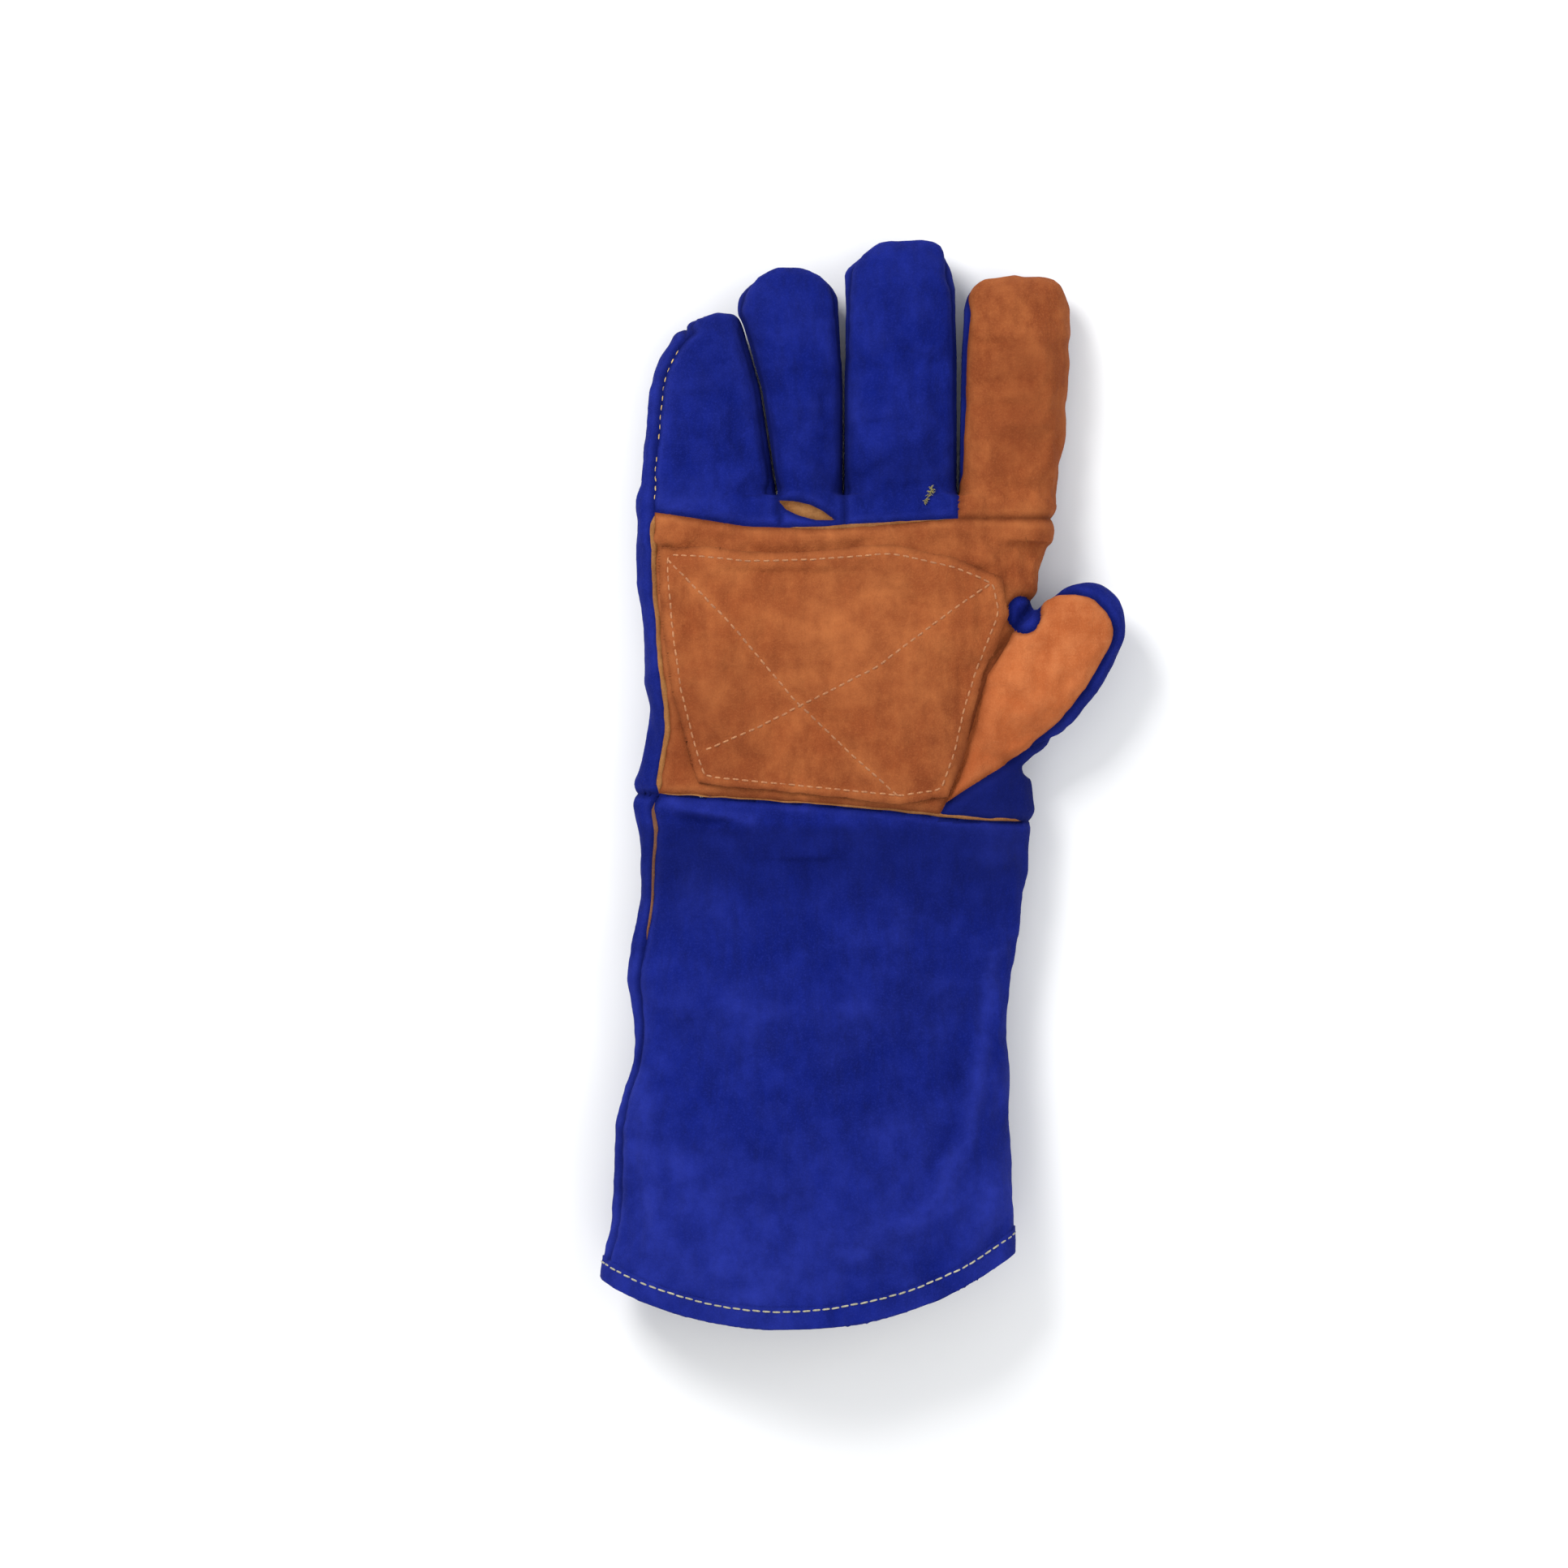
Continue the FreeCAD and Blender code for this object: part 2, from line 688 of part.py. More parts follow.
def thumb_heel():
    """Panel between the wrist and the root of the thumb."""
    body = new_body("thumb_heel")
    last = pad_loop(body, "body", [
        ("crease_low_x+heel_low_in", "wrist_y-overrun"),
        ("heel_outer_x-heel_wrist_in", "wrist_y-overrun"),
        ("heel_outer_x", "heel_outer_y"),
        ("heel_top_x", "heel_top_y"),
        ("crease_low_x+heel_top_in", "crease_low_y+heel_top_up"),
    ], "heel_low", "heel_deep")

    def outer(edge):
        return level(edge) and edge.CenterOfMass.x > 69.5 and edge.BoundBox.XLength < 8

    def open_side(face):
        """Walls at the wrist, the crease and the thumb."""
        box = face.BoundBox
        return box.ZLength > 1 and (box.YLength < TOUCH or face.CenterOfMass.x < 66)

    last = fillet(body, "edge_round", last, outer, "heel_round")
    hollow(body, last, open_side, "leather")
    cut_bend(body, "wrist_bend", WRIST, "+")


# ---------------------------------------------------------------- thumb

# Corner, and how far it moves along X and Y for each millimetre of inset
THUMB_CORNERS = [
    ("thumb_inner_low", "+0.6", "+1.2"),
    ("thumb_outer_low", "-0.5", "+1.5"),
    ("thumb_outer_tip", "-1.3", "+0"),
    ("thumb_inner_tip", "+0", "-1.4"),
    ("thumb_web", "+0.9", "-0.6"),
]


def thumb_shell(label, inset, wall):
    """The hollow thumb stall, open towards the crease and the palm."""
    body = new_body(label)
    last = pad_loop(body, "stall", [
        (f"{corner}_x{shift_x}*{inset}", f"{corner}_y{shift_y}*{inset}")
        for corner, shift_x, shift_y in THUMB_CORNERS
    ], f"thumb_low+{inset}", f"thumb_high-thumb_low-2*{inset}")

    def tip_corner(edge):
        return upright(edge) and (edge.BoundBox.XMin > 100 or edge.BoundBox.YMin > 30)

    def rim(edge):
        """Level edges, without those facing the crease and the wrist."""
        centre = edge.CenterOfMass
        return level(edge) and (centre.x > 76 or (centre.x > 72 and centre.y > 10))

    def open_side(face):
        plane = face.Surface.TypeId == "Part::GeomPlane"
        return face.BoundBox.ZLength > 1 and plane and face.CenterOfMass.x < 66

    last = fillet(body, "tip_round", last, tip_corner, f"thumb_tip_round-{inset}")
    last = fillet(body, "edge_round", last, rim, f"thumb_round-{inset}")
    hollow(body, last, open_side, wall)
    return body


def cut_thumb_crease(body):
    """Sets a thumb piece back from the crease."""
    low_y = "crease_low_y-crease_past_low_y"
    high_y = "crease_high_y+crease_past_high_y"
    cut_plan(body, "crease_relief", [
        ("crease_low_x+crease_cut-crease_past_low_x", low_y),
        ("crease_high_x+crease_cut+crease_past_high_x", high_y),
        ("crease_high_x-crease_cut_wide", high_y),
        ("crease_low_x-crease_cut_wide", low_y),
    ])


def thumb_front():
    body = thumb_shell("thumb_front", "0", "leather")
    cut_section(body, "seam", below("thumb_seam_z+seam_gap"))
    cut_thumb_crease(body)


def thumb_back():
    body = thumb_shell("thumb_back", "0", "leather")
    cut_section(body, "seam", above("thumb_seam_z"))


def thumb_liner():
    cut_thumb_crease(thumb_shell("thumb_liner", LINER_INSET, "fleece"))


# ---------------------------------------------------------------- cuff


def cuff_section(body, name, station, offset):
    """The cuff's cross-section at a station, grown by offset."""
    # the XZ plane faces -Y, so a section lies at minus its offset
    sketch = new_sketch(body, name, "XZ_Plane", f"-cuff_y_{station}")
    add_round_rect(
        sketch,
        left=f"cuff_left_{station}-({offset})",
        right=f"cuff_right_{station}+({offset})",
        low=f"cuff_low_{station}-({offset})",
        high=f"cuff_high_{station}+({offset})",
        corner=f"cuff_corner_{station}+({offset})",
    )
    return sketch


def cuff_tube(label, outside, inside):
    """A flaring tube between two offsets from the leather's outer face."""
    body = new_body(label)
    outer = [cuff_section(body, f"outer_{k}", station, outside)
             for k, station in enumerate(CUFF_STATIONS)]
    inner = [cuff_section(body, f"inner_{k}", station, inside)
             for k, station in enumerate(CUFF_STATIONS)]
    tube = body.newObject("PartDesign::AdditiveLoft", "tube")
    tube.Profile = outer[0]
    tube.Sections = outer[1:]
    doc.recompute()
    solid_volume = tube.Shape.Volume
    bore = body.newObject("PartDesign::SubtractiveLoft", "bore")
    bore.Profile = inner[0]
    bore.Sections = inner[1:]
    doc.recompute()
    if not bore.Shape.Volume < solid_volume:
        raise RuntimeError(label + " is not hollow")
    cut_bend(body, "wrist_bend", WRIST, "-")
    return body


def add_mouth_circle(sketch, back):
    add_circle(sketch, ("mouth_x", "mouth_y"), f"mouth_radius-({back})")


def round_mouth(body, back):
    """Trims the tube to the rounded mouth, set back from the edge."""
    sketch = new_sketch(body, "mouth_sketch", "XY_Plane")
    add_loop(sketch, rectangle(MIN_ALL, MAX_ALL, MIN_ALL, MAX_ALL))
    add_mouth_circle(sketch, back)
    pocket_through(body, "mouth", sketch)


def drop_disc(body, back):
    """Removes everything further in than a distance from the rounded mouth."""
    sketch = new_sketch(body, "upper_edge_sketch", "XY_Plane")
    add_mouth_circle(sketch, back)
    pocket_through(body, "upper_edge", sketch)


def cuff_front():
    body = cuff_tube("cuff_front", "0", "-leather")
    round_mouth(body, "0")
    cut_section(body, "seam", below("hand_seam_z+seam_gap/2"))


def cuff_back():
    body = cuff_tube("cuff_back", "0", "-leather")
    round_mouth(body, "0")
    cut_section(body, "seam", above("hand_seam_z-seam_gap/2"))


def cuff_liner():
    body = cuff_tube("cuff_liner", "-leather-liner_gap", "-leather-liner_gap-canvas")
    round_mouth(body, "cuff_liner_short")


def cuff_hem_binding():
    body = cuff_tube("cuff_hem_binding", "hem_thick+hem_gap", "hem_gap")
    round_mouth(body, "-hem_over")
    drop_disc(body, "hem_wide")


def cuff_hem_stitching():
    """A line of thread round the outside of the binding."""
    inside = "hem_thick+2*hem_gap"
    body = cuff_tube("cuff_hem_stitching", f"{inside}+{THREAD_RISE}", inside)
    round_mouth(body, "stitch_in-thread/2")
    drop_disc(body, "stitch_in+thread/2")


def cuff_side_welt():
    """Strip in the cuff's -X side seam, running a little way down from the wrist."""
    body = cuff_tube("cuff_side_welt", "welt_out", "cuff_welt_gap")
    cut_section(body, "under", below("hand_seam_z-welt_thick/2"))
    cut_section(body, "over", above("hand_seam_z+welt_thick/2"))
    cut_plan(body, "other_side", rectangle("cuff_welt_side", MAX_ALL, MIN_ALL, MAX_ALL))
    cut_plan(body, "lower_end", rectangle(MIN_ALL, MAX_ALL, MIN_ALL, "cuff_welt_end"))


# ---------------------------------------------------------------- build, check and write

for finger in FINGERS:
    for part in ("lower", "upper"):
        finger_front(finger, part)
        finger_back(finger, part)
        finger_fourchette(finger, part)
        finger_liner(finger, part)
for build in (
    hand_back, palm_base, hand_liner, palm_patch, palm_patch_stitching,
    hand_side_welt, wrist_welt, finger_base_welt, thumb_heel,
    thumb_front, thumb_back, thumb_liner,
    cuff_front, cuff_back, cuff_liner,
    cuff_hem_binding, cuff_hem_stitching, cuff_side_welt,
):
    build()

doc.recompute()
problems = []
for item in doc.Objects:
    if any(state in ("Invalid", "Error") for state in item.State):
        problems.append(f"{item.Label} is {item.State}")
for body in PIECES:
    shape = body.Shape
    if shape.isNull() or not shape.isValid() or not shape.Solids:
        problems.append(f"{body.Label} has no valid solid")
if problems:
    raise RuntimeError("; ".join(problems))

os.makedirs("parts", exist_ok=True)
for body in PIECES:
    body.Shape.exportStep(f"parts/{body.Label}.step")
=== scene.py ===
"""Leather work glove with a long cuff, lying flat on a pale floor.

The back of the hand rests on z = 0 and the palm faces +Z. The fingers point to +Y, the thumb
leans out to +X and the cuff opens to -Y. "Front" means the palm side, "left" the little
finger's side (-X). Shapes are worked out in millimetres and turned into metres in the meshes.
"""
import bpy, bmesh, math
import numpy as np
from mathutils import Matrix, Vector, noise
from mathutils.kdtree import KDTree
from mathutils.bvhtree import BVHTree


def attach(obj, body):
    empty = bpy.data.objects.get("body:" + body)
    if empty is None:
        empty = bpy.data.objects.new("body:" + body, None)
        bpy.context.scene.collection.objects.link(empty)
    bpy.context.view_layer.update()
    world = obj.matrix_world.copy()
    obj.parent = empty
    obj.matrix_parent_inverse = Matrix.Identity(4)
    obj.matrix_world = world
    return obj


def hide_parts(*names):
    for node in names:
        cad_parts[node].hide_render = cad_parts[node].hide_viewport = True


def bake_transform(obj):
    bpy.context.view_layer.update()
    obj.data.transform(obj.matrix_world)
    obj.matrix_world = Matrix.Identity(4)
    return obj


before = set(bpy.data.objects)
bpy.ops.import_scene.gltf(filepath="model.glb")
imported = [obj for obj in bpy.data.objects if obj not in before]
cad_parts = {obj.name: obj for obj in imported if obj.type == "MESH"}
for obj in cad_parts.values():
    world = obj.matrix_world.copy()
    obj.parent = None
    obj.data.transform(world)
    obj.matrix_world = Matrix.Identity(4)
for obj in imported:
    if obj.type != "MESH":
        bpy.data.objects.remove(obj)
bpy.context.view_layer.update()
MM = 0.001
SHELL_VOXEL = 1.15
LINING_VOXEL = 2.4
CLOTH_VOXEL = 3.3

# ------------------------------------------------------------------ outlines, mm
# Left edge of cuff and hand: (y, x)
LEFT_EDGE = [
    (60, -75.8), (54, -76.4), (36, -75.8), (27, -75.2), (18, -73.6), (0, -72.8), (-9, -72.5),
    (-18, -72.0), (-27, -73.4), (-36, -75.3), (-45, -76.3), (-54, -76.2), (-63, -75.6),
    (-90, -75.8), (-100, -77.2), (-109, -78.1), (-118, -78.1), (-127, -76.8), (-136, -76.2),
    (-145, -77.3), (-154, -79.2), (-163, -81.3), (-172, -82.8), (-181, -83.6), (-190, -83.9),
    (-199, -84.9), (-208, -86.0), (-217, -88.0), (-227, -90.2), (-252, -92.5)]
# Right edges of the cuff and of the hand: (y, x)
CUFF_RIGHT_EDGE = [
    (-40, 71.5), (-54, 72.6), (-63, 70.6), (-72, 70.0), (-81, 68.7), (-91, 67.6), (-100, 66.8),
    (-109, 65.2), (-118, 63.8), (-127, 62.5), (-136, 62.1), (-163, 62.4), (-172, 62.9),
    (-181, 63.9), (-190, 64.6), (-208, 65.3), (-217, 65.6), (-252, 66.5)]
HAND_RIGHT_EDGE = [
    (64, 81.4), (54, 80.3), (45, 78.3), (36, 75.9), (27, 73.8), (20, 71.8), (14, 70.6),
    (6, 67.6), (0, 64.4), (-20, 62.0), (-33, 66.5), (-45, 70.8), (-54, 72.6), (-64, 71.0)]

# edges: (y, left x, right x), up to the tip. top: height of the front. shift: how far the
# finger is moved sideways while the fingers are held apart. split: y of the border between
# its lower and upper pieces. joint: y of its middle joint.
FINGER_SHAPES = {
    "little": dict(top=25.6, shift=-4.8, split=83.0, joint=98.0, edges=[
        (46, -76.2, -22.6), (62.7, -75.5, -23.6), (76.4, -73.9, -25.6), (94.7, -72.2, -28.4),
        (103.9, -71.0, -29.7), (108.4, -70.1, -30.9), (117.6, -66.4, -33.5),
        (124.0, -61.4, -35.2), (127.8, -57.6, -36.3), (130.4, -52.6, -37.4),
        (132.0, -49.0, -39.0), (133.2, -46.4, -41.4)]),
    "ring": dict(top=26.4, shift=-1.6, split=88.0, joint=108.0, edges=[
        (46, -21.6, 1.0), (62.7, -22.8, 1.1), (82.5, -25.8, 1.2), (104.0, -29.0, 1.2),
        (112.0, -31.4, 1.0), (117.6, -32.8, 0.2), (126.0, -35.4, -0.4), (130.0, -36.9, -0.6),
        (133.4, -38.8, -0.7), (138.2, -37.6, -1.0), (142.6, -34.8, -3.0),
        (146.2, -31.2, -6.4), (149.1, -27.2, -10.8), (150.7, -22.6, -16.4)]),
    "middle": dict(top=27.0, shift=1.6, split=91.0, joint=112.0, edges=[
        (46, 1.9, 43.9), (60, 1.8, 44.0), (110, 1.9, 44.1), (118, 2.6, 44.1),
        (142.0, 2.9, 43.4), (148.4, 3.2, 41.6), (153.7, 7.6, 39.7), (157.8, 11.6, 37.9),
        (160.2, 15.0, 35.2)]),
    "index": dict(top=26.6, shift=4.8, split=87.0, joint=106.0, edges=[
        (46, 44.8, 80.4), (60, 44.9, 81.0), (82.5, 45.2, 84.0), (106, 45.7, 85.8),
        (117.6, 46.0, 85.9), (132.9, 46.8, 85.4), (139.0, 47.8, 84.2), (142.8, 49.8, 82.8),
        (144.8, 52.6, 80.8), (145.8, 55.0, 78.0)]),
}
FINGERS = tuple(FINGER_SHAPES)
LITTLE, RING, MIDDLE, INDEX = range(4)
TIPS = np.array([FINGER_SHAPES[name]["edges"][-1][0] for name in FINGERS])
SHIFTS = np.array([FINGER_SHAPES[name]["shift"] for name in FINGERS])
SPLITS = np.array([FINGER_SHAPES[name]["split"] for name in FINGERS])

# Seams seen in plan. Knuckle and wrist: (x, y), across the glove
KNUCKLE_LINE = [(-90, 58.2), (-71, 57.9), (-53, 55.2), (-35, 52.2), (-10.6, 51.4), (19.6, 53.4),
                (43.2, 55.2), (90, 55.4)]
WRIST_LINE = [(-90, -47.4), (-65, -47.8), (-41, -49.2), (-10.6, -51.3), (22.7, -54.2),
              (46.8, -57.0), (69, -58.0), (90, -58.2)]
# Palm to thumb, and thumb to heel: (x, y), outwards to +X
CREASE_LINE = [(34.0, -62.0), (38.5, -53.8), (41.5, -48.0), (47.0, -33.2), (50.5, -18.0),
               (54.8, -3.0), (64.4, 13.2), (74.0, 25.4), (92.0, 46.0)]
HEEL_LINE = [(20.0, -64.0), (36.2, -53.6), (52, -43.2), (69.0, -33.0), (110.0, -9.0)]
# Closed outlines (x, y): the palm's second layer, and the sliver below the ring finger
PATCH_OUTLINE = [
    (-66.3, 44.4), (-50.0, 43.2), (-34.7, 41.6), (-10.6, 42.2), (19.6, 44.4), (43.8, 39.2),
    (59.6, 32.6), (62.0, 19.5), (53.0, -3.5), (48.6, -18.0), (45.2, -33.4), (39.6, -48.6),
    (22.7, -51.0), (-52.6, -43.6), (-57.5, -27.0), (-61.9, -9.1), (-65.2, 15.0), (-67.0, 38.5)]
BASE_WELT_OUTLINE = [(-22.8, 61.8), (-17.0, 61.9), (-11.0, 60.4), (-6.4, 58.2), (-1.8, 54.6),
                     (-9.0, 54.6), (-15.0, 56.2), (-20.2, 58.6)]
# Two rows of stitches crossing the patch: (x, y)
PATCH_ROW_DOWN = [(-65.534, 41.072), (-40.77, 15.704), (-16.912, -12.684), (4.53, -33.22),
                  (22.046, -48.924)]
PATCH_ROW_UP = [(-51.642, -32.012), (-31.71, -23.556), (-16.912, -16.006), (13.59, -0.604),
                (43.186, 21.744), (57.38, 31.408)]
MOUTH_X, MOUTH_Y, MOUTH_RADIUS = -20.4, -95.0, 150.4    # arc that trims the cuff's open end
HEM = 7.6                                               # width of the binding along that arc
LOW_EDGE = 8.8                                          # height of the seam along the back

THUMB_DIR = np.array([0.682, 0.731])
THUMB_OUT = np.array([THUMB_DIR[1], -THUMB_DIR[0]])     # towards the thumb's outer side
# (distance along the thumb, inner side, outer side)
THUMB_EDGES = [(2, 30, 72.0), (20.9, 30, 75.0), (34, 34, 76.6), (47.5, 36, 77.4),
               (58, 38, 76.6), (69, 39.5, 74.0), (76, 41.0, 71.8), (90, 43, 68)]
THUMB_TIP, THUMB_ROUNDING, THUMB_CENTRE = 89.6, 17.0, 56.5

# Soft folds drawn in plan: (height, width, points)
FRONT_FOLDS = [
    (2.2, 4.0, [(54.36, -132.88), (50.736, -154.02), (46.81, -175.16), (37.75, -191.77),
                (28.69, -205.36), (4.53, -217.44)]),
    (-1.8, 4.2, [(49.83, -135.9), (42.582, -175.16), (33.22, -190.26), (21.14, -205.36)]),
    (-1.2, 4.5, [(54.36, -181.2), (46.81, -202.34), (34.73, -218.95)]),
    (1.3, 2.6, [(-64.024, -51.944), (-49.83, -54.964), (-35.032, -57.984)]),
    (-1.5, 2.6, [(-61.91, -56.172), (-48.32, -59.494), (-31.71, -62.212)]),
    (1.3, 4.0, [(-72.48, -144.96), (-71.876, -184.22), (-66.44, -211.4), (-58.89, -226.5)]),
    (-0.9, 4.5, [(-67.346, -144.96), (-67.044, -184.22), (-61.306, -211.4)]),
    (-0.8, 7.0, [(-46.81, -108.72), (-10.57, -111.74), (25.67, -108.116)]),
    (0.7, 8.0, [(-40.77, -141.94), (-7.55, -144.96), (25.67, -141.94)]),
    (-0.7, 7.0, [(-31.71, -169.12), (-7.55, -166.704), (19.63, -170.328)]),
    (-1.0, 8.0, [(-58.89, -72.48), (-22.65, -77.01), (19.63, -73.084), (58.89, -77.01)]),
    (-1.3, 2.6, [(-36.24, 45.904), (-27.18, 42.28), (-13.59, 43.488), (16.61, 45.904)]),
    (-1.0, 2.6, [(43.79, 41.072), (51.34, 36.24), (61.91, 36.24)]),
    (0.7, 9.0, [(1.51, 30.2), (-16.61, 6.04), (-22.65, -24.16)]),
    (-0.6, 9.0, [(25.67, 18.12), (19.63, -6.04), (28.69, -33.22)]),
    (-1.4, 3.2, [(57.38, -3.02), (49.83, -24.16), (42.28, -48.32)]),
    (-0.8, 3.0, [(61.91, -15.1), (70.97, -9.06), (80.03, -7.852)]),
    (-0.6, 3.0, [(68.554, 2.416), (80.03, 6.04), (92.11, 2.416)]),
    (-1.4, 2.8, [(-10.57, 78.52), (7.55, 69.46), (22.65, 78.52), (34.73, 72.48)]),
    (-1.3, 2.2, [(19.026, 76.708), (25.67, 69.46), (28.086, 62.816)]),
    (-1.1, 2.2, [(28.69, 82.144), (34.73, 76.708), (42.582, 75.5)]),
    (-1.0, 3.0, [(-6.946, 105.7), (-3.926, 90.6), (-1.51, 72.48)]),
    (-0.5, 3.4, [(-40.77, 105.7), (-35.334, 84.56), (-31.71, 66.44)]),
    (1.2, 3.6, [(-22.046, 66.44), (-10.57, 70.97), (-0.302, 66.44)]),
    (0.8, 4.0, [(10.57, 78.52), (19.63, 86.07), (34.73, 81.54)]),
    (-0.8, 3.4, [(46.81, 69.46), (61.91, 66.44), (78.822, 67.648)]),
    (-0.6, 4.0, [(48.32, 102.68), (64.93, 105.7), (83.654, 103.888)]),
    (-0.5, 4.0, [(-67.95, 78.52), (-49.83, 73.99), (-28.69, 76.708)]),
    (-0.5, 3.6, [(-63.118, 102.68), (-49.83, 100.264), (-33.22, 102.68)]),
]
BACK_FOLDS = [
    (-0.7, 5.0, [(-70, 58), (-20, 60), (30, 60), (78, 60)]),
    (0.7, 9.0, [(-60, -20), (-10, -30), (40, -24)]),
    (-0.6, 9.0, [(-66, 20), (-20, 26), (30, 24), (66, 30)]),
    (-0.9, 10.0, [(-60, -120), (0, -130), (50, -122)]),
    (0.9, 11.0, [(-40, -180), (10, -190), (50, -180)]),
]
# Light streaks on the front: (amount, width, points). The first three lie on fold crests and are
# painted highlight; the last two follow the patch's stitch rows and are rubbed wear.
LIGHT_STREAKS = [
    (0.75, 3.2, [(58.286, -108.72), (54.36, -132.88), (46.81, -175.16), (37.75, -191.77),
                 (28.69, -205.36), (4.53, -217.44)]),
    (0.7, 2.8, [(-73.99, -154.02), (-71.876, -184.22), (-67.346, -208.38)]),
    (0.6, 2.4, [(-64.024, -51.34), (-46.81, -54.662), (-33.22, -57.38)]),
    (0.35, 5.0, [(-39.26, -126.84), (-10.57, -129.86), (13.59, -128.048)]),
    (0.35, 6.0, [(-28.69, -223.48), (-10.57, -211.4), (16.61, -205.36)]),
    (0.5, 1.6, PATCH_ROW_DOWN),
    (0.3, 1.6, PATCH_ROW_UP[:-1]),
]


# ------------------------------------------------------------------ curves and distances
def ease(t):
    t = np.clip(t, 0.0, 1.0)
    return t * t * (3 - 2 * t)


def rise(value, start, end):
    """0 at start, 1 at end, eased; falls with growing value if end is below start."""
    return ease((value - start) / (end - start))


def bell(distance, width):
    return np.exp(-(distance / width) ** 2)


def curve(table, at):
    """Straight-line values of a table [(station, value), ...]."""
    rows = sorted(table)
    return np.interp(at, [row[0] for row in rows], [row[1] for row in rows])


def soft_curve(table, at, reach=4.0):
    """The table's values averaged over a little way each side."""
    return sum(0.2 * curve(table, at + step * reach) for step in (-1, -.5, 0, .5, 1))


def edge_pair(table, at):
    """Both sides of a table [(station, one side, other side), ...]."""
    return [curve([(row[0], row[side]) for row in table], at) for side in (1, 2)]


def segment_distance(start, end, x, y):
    (ax, ay), (bx, by) = start, end
    dx, dy = bx - ax, by - ay
    t = np.clip(((x - ax) * dx + (y - ay) * dy) / (dx * dx + dy * dy), 0, 1)
    return np.hypot(x - ax - t * dx, y - ay - t * dy)


def line_distance(path, x, y):
    """Signed distance to an open line, positive on its right-hand side going along it."""
    best = np.full(x.shape, 1e9)
    sign = np.ones(x.shape)
    for (ax, ay), (bx, by) in zip(path[:-1], path[1:]):
        distance = segment_distance((ax, ay), (bx, by), x, y)
        side = np.where(((bx - ax) * (y - ay) - (by - ay) * (x - ax)) > 0, -1.0, 1.0)
        nearer = distance < best - 1e-9
        best = np.where(nearer, distance, best)
        sign = np.where(nearer, side, sign)
    return best * sign


def outline_distance(outline, x, y):
    """Signed distance to a closed outline, positive inside."""
    best = np.full(x.shape, 1e9)
    inside = np.zeros(x.shape, bool)
    for (ax, ay), (bx, by) in zip(outline, outline[1:] + outline[:1]):
        dx, dy = bx - ax, by - ay
        best = np.minimum(best, segment_distance((ax, ay), (bx, by), x, y))
        if dy != 0:
            inside ^= ((ay > y) != (by > y)) & (x < (bx - ax) * (y - ay) / dy + ax)
    return np.where(inside, best, -best)


# ------------------------------------------------------------------ base volume
AROUND = 96                                             # points round each section
ANGLES = np.linspace(0, 2 * math.pi, AROUND, endpoint=False)


def merge(*groups):
    """Several (vertices, faces) as one."""
    verts, faces = [], []
    for more_verts, more_faces in groups:
        offset = len(verts)
        verts += list(more_verts)
        faces += [tuple(i + offset for i in face) for face in more_faces]
    return verts, faces


def tube_sides(rings, around):
    faces = []
    for i in range(rings - 1):
        for j in range(around):
            k = (j + 1) % around
            faces.append((i * around + j, i * around + k,
                          (i + 1) * around + k, (i + 1) * around + j))
    return faces


def capped_tube(rings, around):
    last = (rings - 1) * around
    return tube_sides(rings, around) + [tuple(reversed(range(around))),
                                        tuple(last + j for j in range(around))]


def fan_tube(rings):
    """A tube through the rings, closed by a fan at each end."""
    verts = [point for ring in rings for point in ring]
    faces = tube_sides(len(rings), AROUND)
    centre = len(verts)
    verts += [rings[0].mean(axis=0), rings[-1].mean(axis=0)]
    last = (len(rings) - 1) * AROUND
    for j in range(AROUND):
        k = (j + 1) % AROUND
        faces += [(centre, k, j), (centre + 1, last + j, last + k)]
    return verts, faces


def section(left, right, bottom, top, side_power, top_power):
    """A superellipse: positions across, and heights."""
    c, s = np.cos(ANGLES), np.sin(ANGLES)
    across = np.sign(c) * np.abs(c) ** (2 / side_power)
    height = np.sign(s) * np.abs(s) ** (2 / top_power)
    middle = (bottom + top) / 2
    half = np.where(height > 0, height * (top - middle), height * (middle - bottom))
    return (left + right) / 2 + (right - left) / 2 * across, middle + half


def round_off(at, tip, length, power):
    """Factor that closes a section over the last length before the tip."""
    if at <= tip - length:
        return 1.0
    return (1 - min(1, (at - tip + length) / length) ** power) ** (1 / power)


def tip_stations(start, tip, length, count):
    """Even stations, closing up over the rounded tip."""
    return list(np.arange(start, tip - length, 3.0)) + [
        tip - length * (1 - math.sin(t)) for t in np.linspace(0, math.pi / 2 * 0.985, count)]


def apart_ramp(y):
    """How much of its sideways shift a finger has at y."""
    return rise(np.asarray(y, float), 59.5, 70.5)


def body_tube(stations, right_edge, bottom, top, powers):
    rings = []
    for y in stations:
        left, right = soft_curve(LEFT_EDGE, y), soft_curve(right_edge, y)
        x, z = section(left, right, curve(bottom, y), curve(top, y), *powers)
        rings.append(np.stack([x, np.full_like(x, y), z], 1))
    return fan_tube(rings)


def finger_tube(shape, apart):
    tip = shape["edges"][-1][0]
    tops = [(46, 29.5), (56, 28.6), (68, shape["top"] + 0.6), (80, shape["top"]),
            (tip - 20, shape["top"] - 0.5), (tip, shape["top"] - 3.5)]
    bottoms = [(46, 1.5), (60, 2.2), (75, 3.0), (tip - 18, 3.0), (tip, 5.0)]
    rings = []
    for y in tip_stations(46, tip, length=14.0, count=17):
        left, right = edge_pair(shape["edges"], y)
        top, bottom = curve(tops, y), curve(bottoms, y)
        middle = (top + bottom) / 2
        close = round_off(y, tip, length=13.0, power=2.2)
        x, z = section(left, right, middle - (middle - bottom) * close,
                       middle + (top - middle) * close, side_power=2.7, top_power=2.1)
        rings.append(np.stack([x + shape["shift"] * apart * apart_ramp(y),
                               np.full_like(x, y), z], 1))
    return fan_tube(rings)


